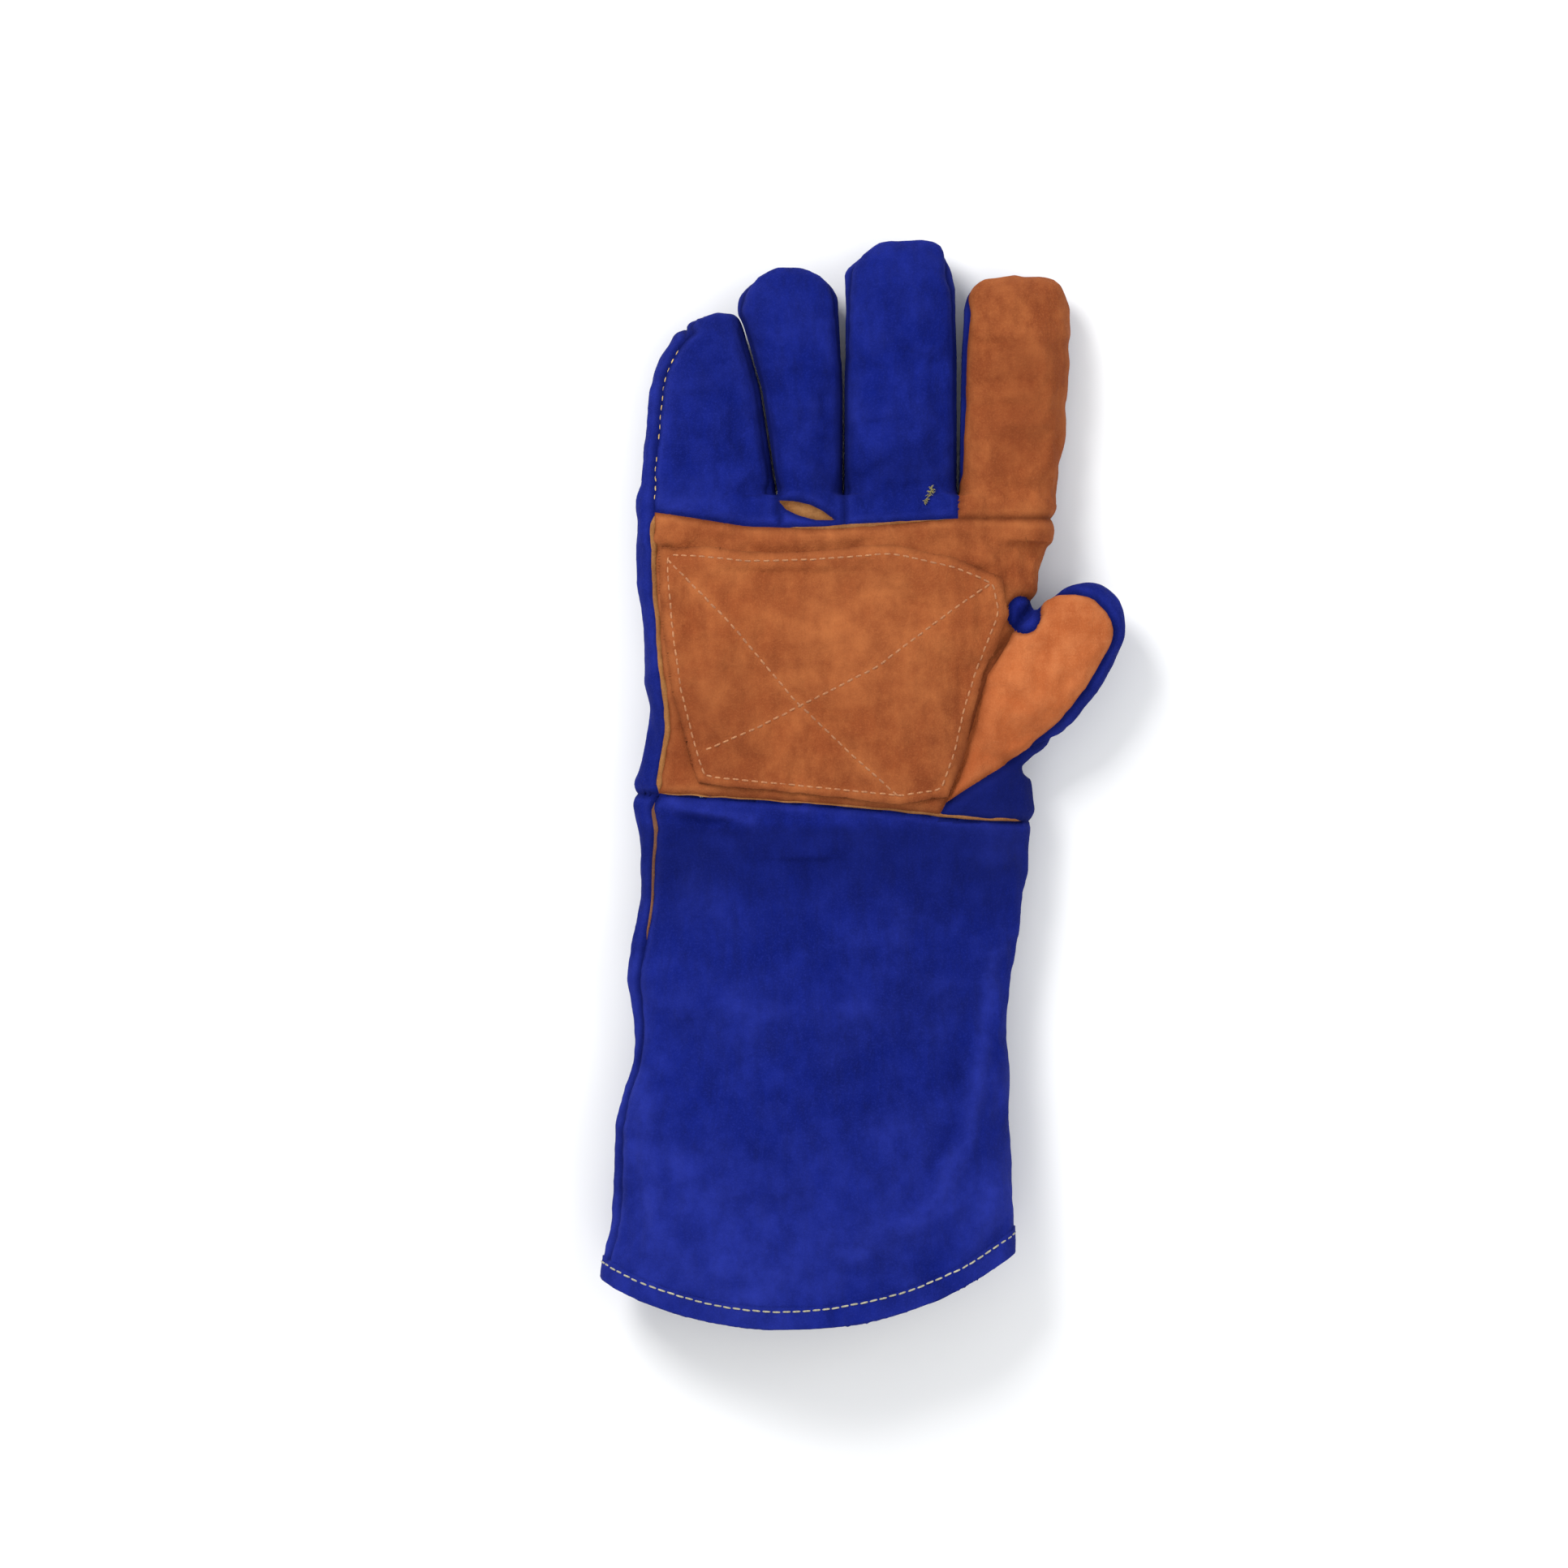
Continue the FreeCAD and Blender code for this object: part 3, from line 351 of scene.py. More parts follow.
def thumb_tube():
    tops = [(2, 28), (20, 30.5), (40, 33.5), (60, 34.0), (THUMB_TIP - 15, 33.0),
            (THUMB_TIP, 28.0)]
    bottoms = [(2, 1.2), (20, 2.0), (34, 4.5), (48, 8.0), (60, 9.0), (THUMB_TIP, 10.5)]
    rings = []
    for along_thumb in tip_stations(2, THUMB_TIP, THUMB_ROUNDING, count=15):
        narrow = round_off(along_thumb, THUMB_TIP, THUMB_ROUNDING, power=2.3)
        inner, outer = [THUMB_CENTRE + (side - THUMB_CENTRE) * narrow
                        for side in edge_pair(THUMB_EDGES, along_thumb)]
        top, bottom = curve(tops, along_thumb), curve(bottoms, along_thumb)
        middle = (top + bottom) / 2
        close = round_off(along_thumb, THUMB_TIP, length=14, power=2.2)
        across, z = section(inner, outer, middle - (middle - bottom) * close,
                            middle + (top - middle) * close, side_power=2.5, top_power=2.1)
        rings.append(np.stack([THUMB_DIR[0] * along_thumb + THUMB_OUT[0] * across,
                               THUMB_DIR[1] * along_thumb + THUMB_OUT[1] * across, z], 1))
    return fan_tube(rings)


def base_volume(apart):
    """Overlapping closed tubes for the cuff, hand, fingers and thumb."""
    cuff = body_tube(
        np.arange(-252, -40, 3.0), CUFF_RIGHT_EDGE,
        bottom=[(-55, 0.7), (-145, 1.2), (-250, 2.6)],
        top=[(-40, 31.2), (-50, 30.6), (-57, 30.4), (-75, 32.6), (-110, 35.2), (-145, 38.2),
             (-200, 43.2), (-250, 47.0)],
        powers=(3.6, 2.0))
    hand = body_tube(
        np.arange(-62, 64.1, 3.0), HAND_RIGHT_EDGE,
        bottom=[(-62, 0.9), (-50, 0.3), (-35, 0.1), (40, 0.1), (55, 0.9), (64, 2.0)],
        top=[(-62, 29.6), (-54, 31.0), (-44, 32.0), (-20, 32.6), (10, 33.0), (40, 32.2),
             (54, 30.0), (64, 28.2)],
        powers=(4.4, 2.1))
    fingers = [finger_tube(FINGER_SHAPES[name], apart) for name in FINGERS]
    return merge(cuff, hand, *fingers, thumb_tube())


# ------------------------------------------------------------------ triangle meshes
def remesh(verts, faces, voxel):
    """One closed skin round the overlapping tubes: points in mm, and triangles."""
    mesh = bpy.data.meshes.new("tmp")
    mesh.from_pydata([(a * MM, b * MM, c * MM) for a, b, c in verts], [], faces)
    ob = bpy.data.objects.new("tmp", mesh)
    bpy.context.scene.collection.objects.link(ob)
    modifier = ob.modifiers.new("remesh", "REMESH")
    modifier.mode = "VOXEL"
    modifier.voxel_size = voxel * MM
    modifier.adaptivity = 0
    graph = bpy.context.evaluated_depsgraph_get()
    skin = bpy.data.meshes.new_from_object(ob.evaluated_get(graph))
    co = np.empty(len(skin.vertices) * 3, np.float32)
    skin.vertices.foreach_get("co", co)
    skin.calc_loop_triangles()
    tris = np.empty(len(skin.loop_triangles) * 3, np.int32)
    skin.loop_triangles.foreach_get("vertices", tris)
    bpy.data.objects.remove(ob)
    bpy.data.meshes.remove(mesh)
    bpy.data.meshes.remove(skin)
    return co.reshape(-1, 3).astype(float) / MM, tris.reshape(-1, 3).astype(int)


def half_edges(tris):
    return np.concatenate([tris[:, [0, 1]], tris[:, [1, 2]], tris[:, [2, 0]]])


def edges_of(tris):
    return np.unique(np.sort(half_edges(tris), axis=1), axis=0)


def neighbour_mean(values, edges):
    count = len(values)
    degree = np.maximum(np.bincount(edges.ravel(), minlength=count), 1).astype(float)[:, None]
    total = np.zeros_like(values)
    for k in range(3):
        total[:, k] = (np.bincount(edges[:, 0], values[edges[:, 1], k], count)
                       + np.bincount(edges[:, 1], values[edges[:, 0], k], count))
    return total / degree


def relax(points, tris, times, shrink=0.5, grow=-0.52):
    """Smooths by turns inwards and outwards, so the volume stays."""
    edges = edges_of(tris)
    for i in range(times * 2):
        step = shrink if i % 2 == 0 else grow
        points = points + step * (neighbour_mean(points, edges) - points)
    return points


def point_normals(points, tris):
    a, b, c = (points[tris[:, k]] for k in range(3))
    face_normals = np.cross(b - a, c - a)
    total = np.zeros_like(points)
    for k in range(3):
        for axis in range(3):
            total[:, axis] += np.bincount(tris[:, k], face_normals[:, axis], len(points))
    return total / np.maximum(np.linalg.norm(total, axis=1), 1e-12)[:, None]


def gap_lines(y, apart=0.0):
    """x of the three lines between neighbouring fingers at y."""
    lines = []
    for first, second in zip(FINGERS[:-1], FINGERS[1:]):
        first, second = FINGER_SHAPES[first], FINGER_SHAPES[second]
        right = edge_pair(first["edges"], y)[1] + first["shift"] * apart * apart_ramp(y)
        left = edge_pair(second["edges"], y)[0] + second["shift"] * apart * apart_ramp(y)
        lines.append((right + left) / 2)
    return lines


def finger_at(x, y, apart):
    """Finger numbers, 0 to 3 for little to index."""
    return sum((x > line).astype(int) for line in gap_lines(y, apart))


def finger_of(points):
    """Finger numbers; a fourth column, where there is one, is x with the fingers apart."""
    if points.shape[1] > 3:
        return finger_at(points[:, 3], points[:, 1], 1.0)
    return finger_at(points[:, 0], points[:, 1], 0.0)


def shell_mesh(voxel, apart=1.0):
    """The glove's closed surface, made with the fingers held apart so that they don't fuse,
    and then brought together. The fourth column is x with the fingers apart."""
    points, tris = remesh(*base_volume(apart), voxel)
    points = relax(points, tris, 8 if voxel < 2 else 4)
    shift = SHIFTS[finger_at(points[:, 0], points[:, 1], apart)]
    points[:, 0] -= shift * apart * apart_ramp(points[:, 1])
    x_apart = points[:, 0] + shift * apart_ramp(points[:, 1])
    return np.hstack([points, x_apart[:, None]]), tris


def cut(points, tris, distance, snap=0.12):
    """Splits triangles along the line where distance is zero."""
    distance = np.where(np.abs(distance) < snap, 0.0, distance)
    sign = np.sign(distance)
    corner_signs = sign[tris]
    crossed = (corner_signs.max(1) > 0) & (corner_signs.min(1) < 0)
    new_points, made, new_tris = [], {}, []

    def crossing(a, b):
        key = (a, b) if a < b else (b, a)
        if key not in made:
            t = distance[key[0]] / (distance[key[0]] - distance[key[1]])
            made[key] = len(points) + len(new_points)
            new_points.append(points[key[0]] + t * (points[key[1]] - points[key[0]]))
        return made[key]

    for tri in tris[crossed]:
        signs = [sign[i] for i in tri]
        if 0 in signs:
            i = signs.index(0)
        else:
            i = [k for k in range(3) if signs[k] != signs[(k + 1) % 3]
                 and signs[k] != signs[(k + 2) % 3]][0]
        a, b, c = tri[i], tri[(i + 1) % 3], tri[(i + 2) % 3]
        if 0 in signs:
            m = crossing(b, c)
            new_tris += [(a, b, m), (a, m, c)]
        else:
            m, o = crossing(a, b), crossing(a, c)
            new_tris += [(a, m, o), (m, b, c), (m, c, o)]
    if new_points:
        points = np.vstack([points, np.array(new_points)])
        tris = np.vstack([tris[~crossed], np.array(new_tris, int)])
    return points, tris


# ------------------------------------------------------------------ seams
# Each returns a signed value per point that is zero on the seam.
def knuckle_seam(points):
    return points[:, 1] - curve(KNUCKLE_LINE, points[:, 0])


def split_seam(points):
    return points[:, 1] - SPLITS[finger_of(points)]


def wrist_seam(points):
    return points[:, 1] - curve(WRIST_LINE, points[:, 0])


def crease_seam(points):
    """Positive on the thumb's side."""
    x, y = points[:, 0], points[:, 1]
    inside = np.minimum(line_distance(CREASE_LINE, x, y), y + 58.5)
    return np.where((x > 30) & (y < 34), inside, -5.0)


def heel_seam(points):
    """Positive on the thumb, negative on the heel."""
    x, y = points[:, 0], points[:, 1]
    return np.where(x > 30, -line_distance(HEEL_LINE, x, y), 5.0)


def mouth_seam(points):
    inside = MOUTH_RADIUS - np.hypot(points[:, 0] - MOUTH_X, points[:, 1] - MOUTH_Y)
    return np.where(points[:, 1] < -150, inside, 50.0)


def hem_seam(points):
    return np.where(points[:, 1] < -150, mouth_seam(points) - HEM, 40.0)


def tip_seam(points):
    """Short lines at the outer sides of the little and index fingertips."""
    x, y = points[:, 0], points[:, 1]
    return np.where((x < -40) & (y > 116), x + 58.0,
                    np.where((x > 60) & (y > 128), x - 78.0, 5.0))


def base_welt_seam(points):
    return np.where(points[:, 2] > 18,
                    outline_distance(BASE_WELT_OUTLINE, points[:, 0], points[:, 1]), -5.0)


def patch_seam(points):
    return np.where(points[:, 2] > 20,
                    outline_distance(PATCH_OUTLINE, points[:, 0], points[:, 1]), -5.0)


def back_seam(points):
    return np.maximum(points[:, 2] - LOW_EDGE, 49.0 - points[:, 1])


SIDE_HEIGHTS = [    # (y, z) of the front's border on the little finger's side
    (-250, 32.0), (-230, 31.0), (-190, 28.0), (-145, 25.4), (-120, 25.0), (-104, 25.6),
    (-85, 24.8), (-63, 23.8), (-53, 24.4), (-49, 25.8), (-45, 26.4), (-24, 27.2), (6, 25.9),
    (36, 25.4), (60, 25.0)]
THUMB_HEIGHTS = [   # (distance along the thumb, z) of its front's border
    (0, 12.0), (16, 20.0), (30, 25.4), (45, 28.2), (60, 29.4), (74, 29.0), (80, 28.5),
    (84, 28.5), (94, 28.5)]


def front_seam(points):
    """Height above the border between the front pieces and the rest."""
    x, y, z = points[:, 0], points[:, 1], points[:, 2]
    finger = finger_of(points)
    on_finger = rise(y, 54, 74.0)
    left = curve(SIDE_HEIGHTS, y)
    hand = left + (LOW_EDGE - left) * rise(x, 5, 30.0)
    fingers = np.choose(finger, [
        np.where(x < -45, 22.0, 19.0), np.full(x.shape, 18.6), np.full(x.shape, 18.6),
        19.6 + (LOW_EDGE - 19.6) * rise(x, 54, 70.0)])
    # the border dips to 14 mm at the fingertips
    little = finger == LITTLE
    dip_start = TIPS[finger] - np.where(little, 9.0, 14.0)
    near_tip = ease((y - dip_start) / np.where(little, 8.0, 11.0))
    fingers = fingers + np.minimum(14.0 - fingers, 0.0) * near_tip
    height = hand * (1 - on_finger) + fingers * on_finger
    height = np.where(wrist_seam(points) < 0, left + (14.0 - left) * rise(x, -20, 20.0), height)

    beyond_crease, heel = crease_seam(points) > 0, heel_seam(points)
    along_thumb = x * THUMB_DIR[0] + y * THUMB_DIR[1]
    across_thumb = x * THUMB_OUT[0] + y * THUMB_OUT[1]
    thumb = curve(THUMB_HEIGHTS, along_thumb)
    thumb = thumb - 9.0 * rise(across_thumb, 54.0, 46.0) * rise(along_thumb, 82.0, 72.0)
    height = np.where(beyond_crease & (heel > 0), thumb, height)
    height = np.where(beyond_crease & (heel <= 0) & (y > -60), 9.0, height)
    # all of the crotch between thumb and hand belongs to the back
    height = height + 60.0 * rise(np.hypot((x - 68.8) / 6.0, (y - 19.6) / 7.0), 1.0, 0.75)
    return z - height


# Piece numbers
(HAND_BACK, PALM, HEEL, THUMB_FRONT, THUMB_BACK, CUFF_FRONT, CUFF_BACK, HEM_BINDING,
 BASE_WELT) = range(9)
HAND_BACK_SIDE, HEEL_SIDE = 40, 41      # parts beside the thumb, where the real leather gives when the thumb folds
FRONT, SIDE, BACK = range(3)
FIRST_FINGER = 10                       # finger pieces are 10 to 33


def finger_piece(finger, kind, upper):
    return FIRST_FINGER + finger * 6 + kind + 3 * upper


def piece_numbers(points):
    """Which piece each triangle centre belongs to."""
    x, y = points[:, 0], points[:, 1]
    front = front_seam(points) > 0
    thumb_side, on_thumb = crease_seam(points) > 0, heel_seam(points) > 0
    pieces = np.where(front, PALM, HAND_BACK)
    pieces = np.where(thumb_side & on_thumb, np.where(front, THUMB_FRONT, THUMB_BACK), pieces)
    pieces = np.where(thumb_side & ~on_thumb, np.where(front, HEEL, HAND_BACK), pieces)
    gives = thumb_side & ~on_thumb & (x > 63.0) & (y > -41.5)
    pieces = np.where(gives, np.where(front, HEEL_SIDE, HAND_BACK_SIDE), pieces)

    finger = finger_of(points)
    kind = np.where(front, FRONT, np.where(back_seam(points) < 0, BACK, SIDE))
    kind = np.where((kind == SIDE) & (finger == LITTLE) & (x < -58), BACK, kind)
    kind = np.where((kind == SIDE) & (finger == INDEX) & (x > 78), BACK, kind)
    upper = split_seam(points) > 0
    pieces = np.where(knuckle_seam(points) > 0, finger_piece(finger, kind, upper), pieces)

    cuff = wrist_seam(points) < 0
    pieces = np.where(cuff, np.where(front, CUFF_FRONT, CUFF_BACK), pieces)
    pieces = np.where(cuff & (hem_seam(points) < 0), HEM_BINDING, pieces)
    in_welt = (base_welt_seam(points) > 0) & (pieces >= FIRST_FINGER) & (pieces < HAND_BACK_SIDE)
    return np.where(in_welt, BASE_WELT, pieces)


def is_sewn(a, b):
    """Whether the border between two pieces is a seam; the others only divide one leather."""
    whole = {HAND_BACK_SIDE: HAND_BACK, HEEL_SIDE: HEEL}
    a, b = sorted((whole.get(a, a), whole.get(b, b)))
    if a == b:
        return False
    if a >= FIRST_FINGER:
        return not (b - a == 3 and (a - FIRST_FINGER) // 6 == (b - FIRST_FINGER) // 6)
    if b >= FIRST_FINGER:
        finger, kind = (b - FIRST_FINGER) // 6, (b - FIRST_FINGER) % 3
        if a == HAND_BACK:
            return kind == FRONT
        return not (a == PALM and finger == INDEX and kind != FRONT)
    return not (a in (CUFF_FRONT, CUFF_BACK) and b == HEM_BINDING)


def border_edges(tris, pieces):
    """Edges between different pieces, and the two piece numbers of each."""
    edges = half_edges(tris)
    owner = np.tile(pieces, 3)
    key = np.sort(edges, axis=1)
    code = key[:, 0].astype(np.int64) * (10 ** 8) + key[:, 1]
    order = np.argsort(code, kind="stable")
    code, edges, owner = code[order], edges[order], owner[order]
    shared = np.where(code[:-1] == code[1:])[0]
    border = shared[owner[shared] != owner[shared + 1]]
    return edges[border], np.stack([owner[border], owner[border + 1]], 1)


def sewn_vertices(edges, pairs):
    return np.unique(edges[np.array([is_sewn(int(a), int(b)) for a, b in pairs])])


# ------------------------------------------------------------------ materials
def srgb(*channels):
    """Linear colour from 0-255 sRGB channels."""
    def linear(v):
        v = v / 255.0
        return v / 12.92 if v <= 0.04045 else ((v + 0.055) / 1.055) ** 2.4
    return tuple(linear(v) for v in channels) + (1.0,)


def darker(colour, factor):
    return tuple(v * factor for v in colour[:3]) + (1,)


class Shader:
    """A material with one principled surface, and short ways to add nodes to it."""

    def __init__(self, name):
        self.material = bpy.data.materials.new(name)
        self.material.use_nodes = True
        self.tree = self.material.node_tree
        self.tree.nodes.clear()
        output = self.add("ShaderNodeOutputMaterial")
        self.surface = self.add("ShaderNodeBsdfPrincipled")
        self.tree.links.new(self.surface.outputs[0], output.inputs[0])
        self.coords = self.add("ShaderNodeTexCoord")

    def add(self, kind, **settings):
        node = self.tree.nodes.new(kind)
        for key, value in settings.items():
            setattr(node, key, value)
        return node

    def put(self, node, socket, value):
        """Links an output, or sets a plain value."""
        if hasattr(value, "links"):
            self.tree.links.new(value, node.inputs[socket])
        else:
            node.inputs[socket].default_value = value

    def finish(self, **inputs):
        """Sets the surface's inputs, named with _ for a space."""
        for key, value in inputs.items():
            self.put(self.surface, key.replace("_", " "), value)
        return self.material

    def noise(self, scale, detail=3.0, rough=0.55, stretch=None, turn=0.0):
        node = self.add("ShaderNodeTexNoise")
        self.put(node, "Scale", scale)
        self.put(node, "Detail", detail)
        self.put(node, "Roughness", rough)
        mapping = self.add("ShaderNodeMapping")
        self.put(mapping, 0, self.coords.outputs["Object"])
        if stretch:
            mapping.inputs["Scale"].default_value = stretch
        mapping.inputs["Rotation"].default_value = (0, 0, turn)
        self.put(node, "Vector", mapping.outputs[0])
        return node.outputs["Fac"]

    def attribute(self, name):
        return self.add("ShaderNodeAttribute", attribute_name=name).outputs["Fac"]

    def remap(self, source, low, high, to_low, to_high):
        node = self.add("ShaderNodeMapRange")
        for socket, value in enumerate((source, low, high, to_low, to_high)):
            self.put(node, socket, value)
        return node.outputs[0]

    def mix(self, factor, a, b):
        node = self.add("ShaderNodeMix", data_type="RGBA", blend_type="MIX")
        for socket, value in ((0, factor), (6, a), (7, b)):
            self.put(node, socket, value)
        return node.outputs[2]

    def layers(self, colour, rows):
        """Mixes colours in turn; rows are (pattern, low, high, amount, colour)."""
        for pattern, low, high, amount, tint in rows:
            colour = self.mix(self.remap(pattern, low, high, 0, amount), colour, tint)
        return colour

    def math(self, operation, a, b=0.0):
        node = self.add("ShaderNodeMath", operation=operation)
        self.put(node, 0, a)
        self.put(node, 1, b)
        return node.outputs[0]

    def bump(self, height, distance, strength, under=None):
        node = self.add("ShaderNodeBump")
        self.put(node, "Strength", strength)
        self.put(node, "Distance", distance)
        self.put(node, "Height", height)
        if under:
            self.put(node, "Normal", under)
        return node.outputs[0]


def suede(name, base, dark, light, sheen, fade, cloud=1.0):
    """Split leather: brushed nap, uneven dye, lighter where worn and with painted highlight,
    dark in the seams, and painted shade in creases and gaps.
    fade is how light the worn and highlighted places get, cloud how strong the broad blotches
    are."""
    shader = Shader(name)
    blotch = shader.noise(scale=22, detail=3, rough=0.6)
    patchy = shader.noise(scale=95, detail=4, rough=0.6)
    brush = shader.noise(scale=260, detail=3, rough=0.6, stretch=(1.0, 0.28, 1.0), turn=0.5)
    fine = shader.noise(scale=1500, detail=3, rough=0.7)
    fibre = shader.noise(scale=2600, detail=2, rough=0.6, stretch=(1.0, 0.3, 1.0), turn=0.9)
    colour = shader.layers(base, [
        (blotch, 0.32, 0.70, 0.55 * cloud, dark), (patchy, 0.42, 0.74, 0.45 * cloud, light),
        (brush, 0.40, 0.72, 0.42, dark), (fine, 0.50, 0.80, 0.40, light),
        (fibre, 0.55, 0.85, 0.30, dark)])
    colour = shader.layers(colour, [(shader.attribute("seam"), 0, 1, 0.62, darker(base, 0.30))])
    # lighter where worn, plus painted highlight on fold crests and painted light towards the
    # cuff's end
    worn = shader.attribute("worn")
    worn = shader.math("MULTIPLY", worn, shader.remap(patchy, 0.3, 0.7, 0.35, 1.0))
    colour = shader.layers(colour, [(worn, 0, 1, fade, light)])
    # painted shade in creases, between the fingers and on the cuff under the hand's edge, with
    # some darker tone
    colour = shader.layers(colour, [(shader.attribute("tone"), 0, 1, 0.75, dark)])
    nap = shader.math("ADD", patchy, shader.math("MULTIPLY", brush, 0.6))
    normal = shader.bump(nap, distance=0.0011, strength=0.55)
    normal = shader.bump(fine, distance=0.00045, strength=0.8, under=normal)
    normal = shader.bump(fibre, distance=0.00022, strength=0.7, under=normal)
    return shader.finish(
        Base_Color=colour, Roughness=shader.remap(patchy, 0.3, 0.7, 0.82, 0.97),
        Specular_IOR_Level=0.10, Sheen_Weight=sheen, Sheen_Roughness=0.45, Sheen_Tint=light,
        Normal=normal)


def thread(name, base, light):
    """Twisted yarn."""
    shader = Shader(name)
    twist = shader.noise(scale=1900, detail=2, rough=0.5, stretch=(1.0, 0.45, 1.0), turn=0.8)
    blotch = shader.noise(scale=60, detail=2, rough=0.5)
    colour = shader.layers(base, [(twist, 0.35, 0.68, 1, light),
                                  (blotch, 0.35, 0.70, 0.4, darker(base, 0.5))])
    return shader.finish(Base_Color=colour, Roughness=0.62, Sheen_Weight=0.2,
                         Normal=shader.bump(twist, distance=0.0003, strength=0.8))


def fleece(name, base, light):
    shader = Shader(name)
    wool = shader.noise(scale=520, detail=4, rough=0.7)
    tuft = shader.noise(scale=1700, detail=3, rough=0.7)
    grime = shader.noise(scale=40, detail=3, rough=0.6)
    colour = shader.layers(base, [(wool, 0.35, 0.7, 1, light),
                                  (grime, 0.4, 0.75, 0.35, darker(base, 0.72))])
    normal = shader.bump(wool, distance=0.0012, strength=0.8)
    normal = shader.bump(tuft, distance=0.0005, strength=0.7, under=normal)
    return shader.finish(Base_Color=colour, Roughness=0.95, Sheen_Weight=0.5, Normal=normal)


def canvas(name, base, light):
    """Plain weave from two crossed sine waves."""
    waves_per_metre = 5200.0        # radians per metre
    shader = Shader(name)
    split = shader.add("ShaderNodeSeparateXYZ")
    shader.put(split, 0, shader.coords.outputs["Object"])
    x, y, z = split.outputs[0], split.outputs[1], split.outputs[2]
    weft = shader.math("ADD", x, z)
    weft = shader.math("SINE", shader.math("MULTIPLY", weft, waves_per_metre))
    warp = shader.math("SINE", shader.math("MULTIPLY", y, waves_per_metre))
    weave = shader.math("MULTIPLY", weft, warp)
    grime = shader.noise(scale=60, detail=4, rough=0.6)
    slub = shader.noise(scale=900, detail=3, rough=0.6)
    colour = shader.layers(base, [(weave, -1, 1, 1, light),
                                  (grime, 0.4, 0.7, 0.4, darker(base, 0.75)),
                                  (slub, 0.45, 0.75, 0.3, light)])
    normal = shader.bump(weave, distance=0.0003, strength=0.8)
    normal = shader.bump(slub, distance=0.0003, strength=0.6, under=normal)
    return shader.finish(Base_Color=colour, Roughness=0.9, Normal=normal)


BLUE = suede("blue_split_leather", base=srgb(5, 22, 108), dark=srgb(3, 11, 66),
             light=srgb(40, 52, 150), sheen=0.10, fade=0.6, cloud=0.6)
TAN = suede("tan_split_leather", base=srgb(142, 72, 36), dark=srgb(104, 46, 22),
            light=srgb(184, 110, 62), sheen=0.10, fade=0.6)
THUMB_TAN = suede("light_tan_split_leather", base=srgb(186, 102, 54), dark=srgb(146, 70, 34),
                  light=srgb(212, 134, 84), sheen=0.12, fade=0.5)
WELT = suede("welt_leather", base=srgb(150, 96, 50), dark=srgb(96, 58, 36),
             light=srgb(186, 136, 84), sheen=0.1, fade=0.5)
CUFF_WELT = suede("cuff_welt_leather", base=srgb(118, 76, 52), dark=srgb(74, 48, 44),
                  light=srgb(150, 108, 78), sheen=0.1, fade=0.5)
YELLOW_THREAD = thread("yellow_thread", srgb(196, 158, 74), srgb(232, 200, 118))
HEM_THREAD = thread("hem_thread", srgb(150, 146, 122), srgb(196, 190, 160))
TAN_THREAD = thread("tan_thread", srgb(152, 90, 48), srgb(190, 130, 80))
thread("blue_thread", srgb(44, 54, 128), srgb(78, 88, 160))     # a spare, on no piece
FLEECE = fleece("fleece_lining", srgb(222, 214, 196), srgb(242, 236, 222))
CANVAS = canvas("woven_lining", srgb(206, 200, 184), srgb(228, 223, 208))
FRAYED = thread("frayed_thread", srgb(158, 146, 78), srgb(116, 108, 52))


# ------------------------------------------------------------------ objects
def make_object(name, verts, faces, material, normals=None, attributes=None):
    mesh = bpy.data.meshes.new(name)
    mesh.from_pydata([tuple(v) for v in (np.asarray(verts) * MM)], [],
                     [tuple(int(i) for i in face) for face in faces])
    mesh.update()
    ob = bpy.data.objects.new(name, mesh)
    bpy.context.scene.collection.objects.link(ob)
    mesh.materials.append(material)
    mesh.polygons.foreach_set("use_smooth", [True] * len(mesh.polygons))
    for key, values in (attributes or {}).items():
        attribute = mesh.attributes.new(key, "FLOAT", "POINT")
        attribute.data.foreach_set("value", np.asarray(values, np.float32))
    if normals is not None:
        mesh.normals_split_custom_set_from_vertices([tuple(n) for n in normals])
    return ob


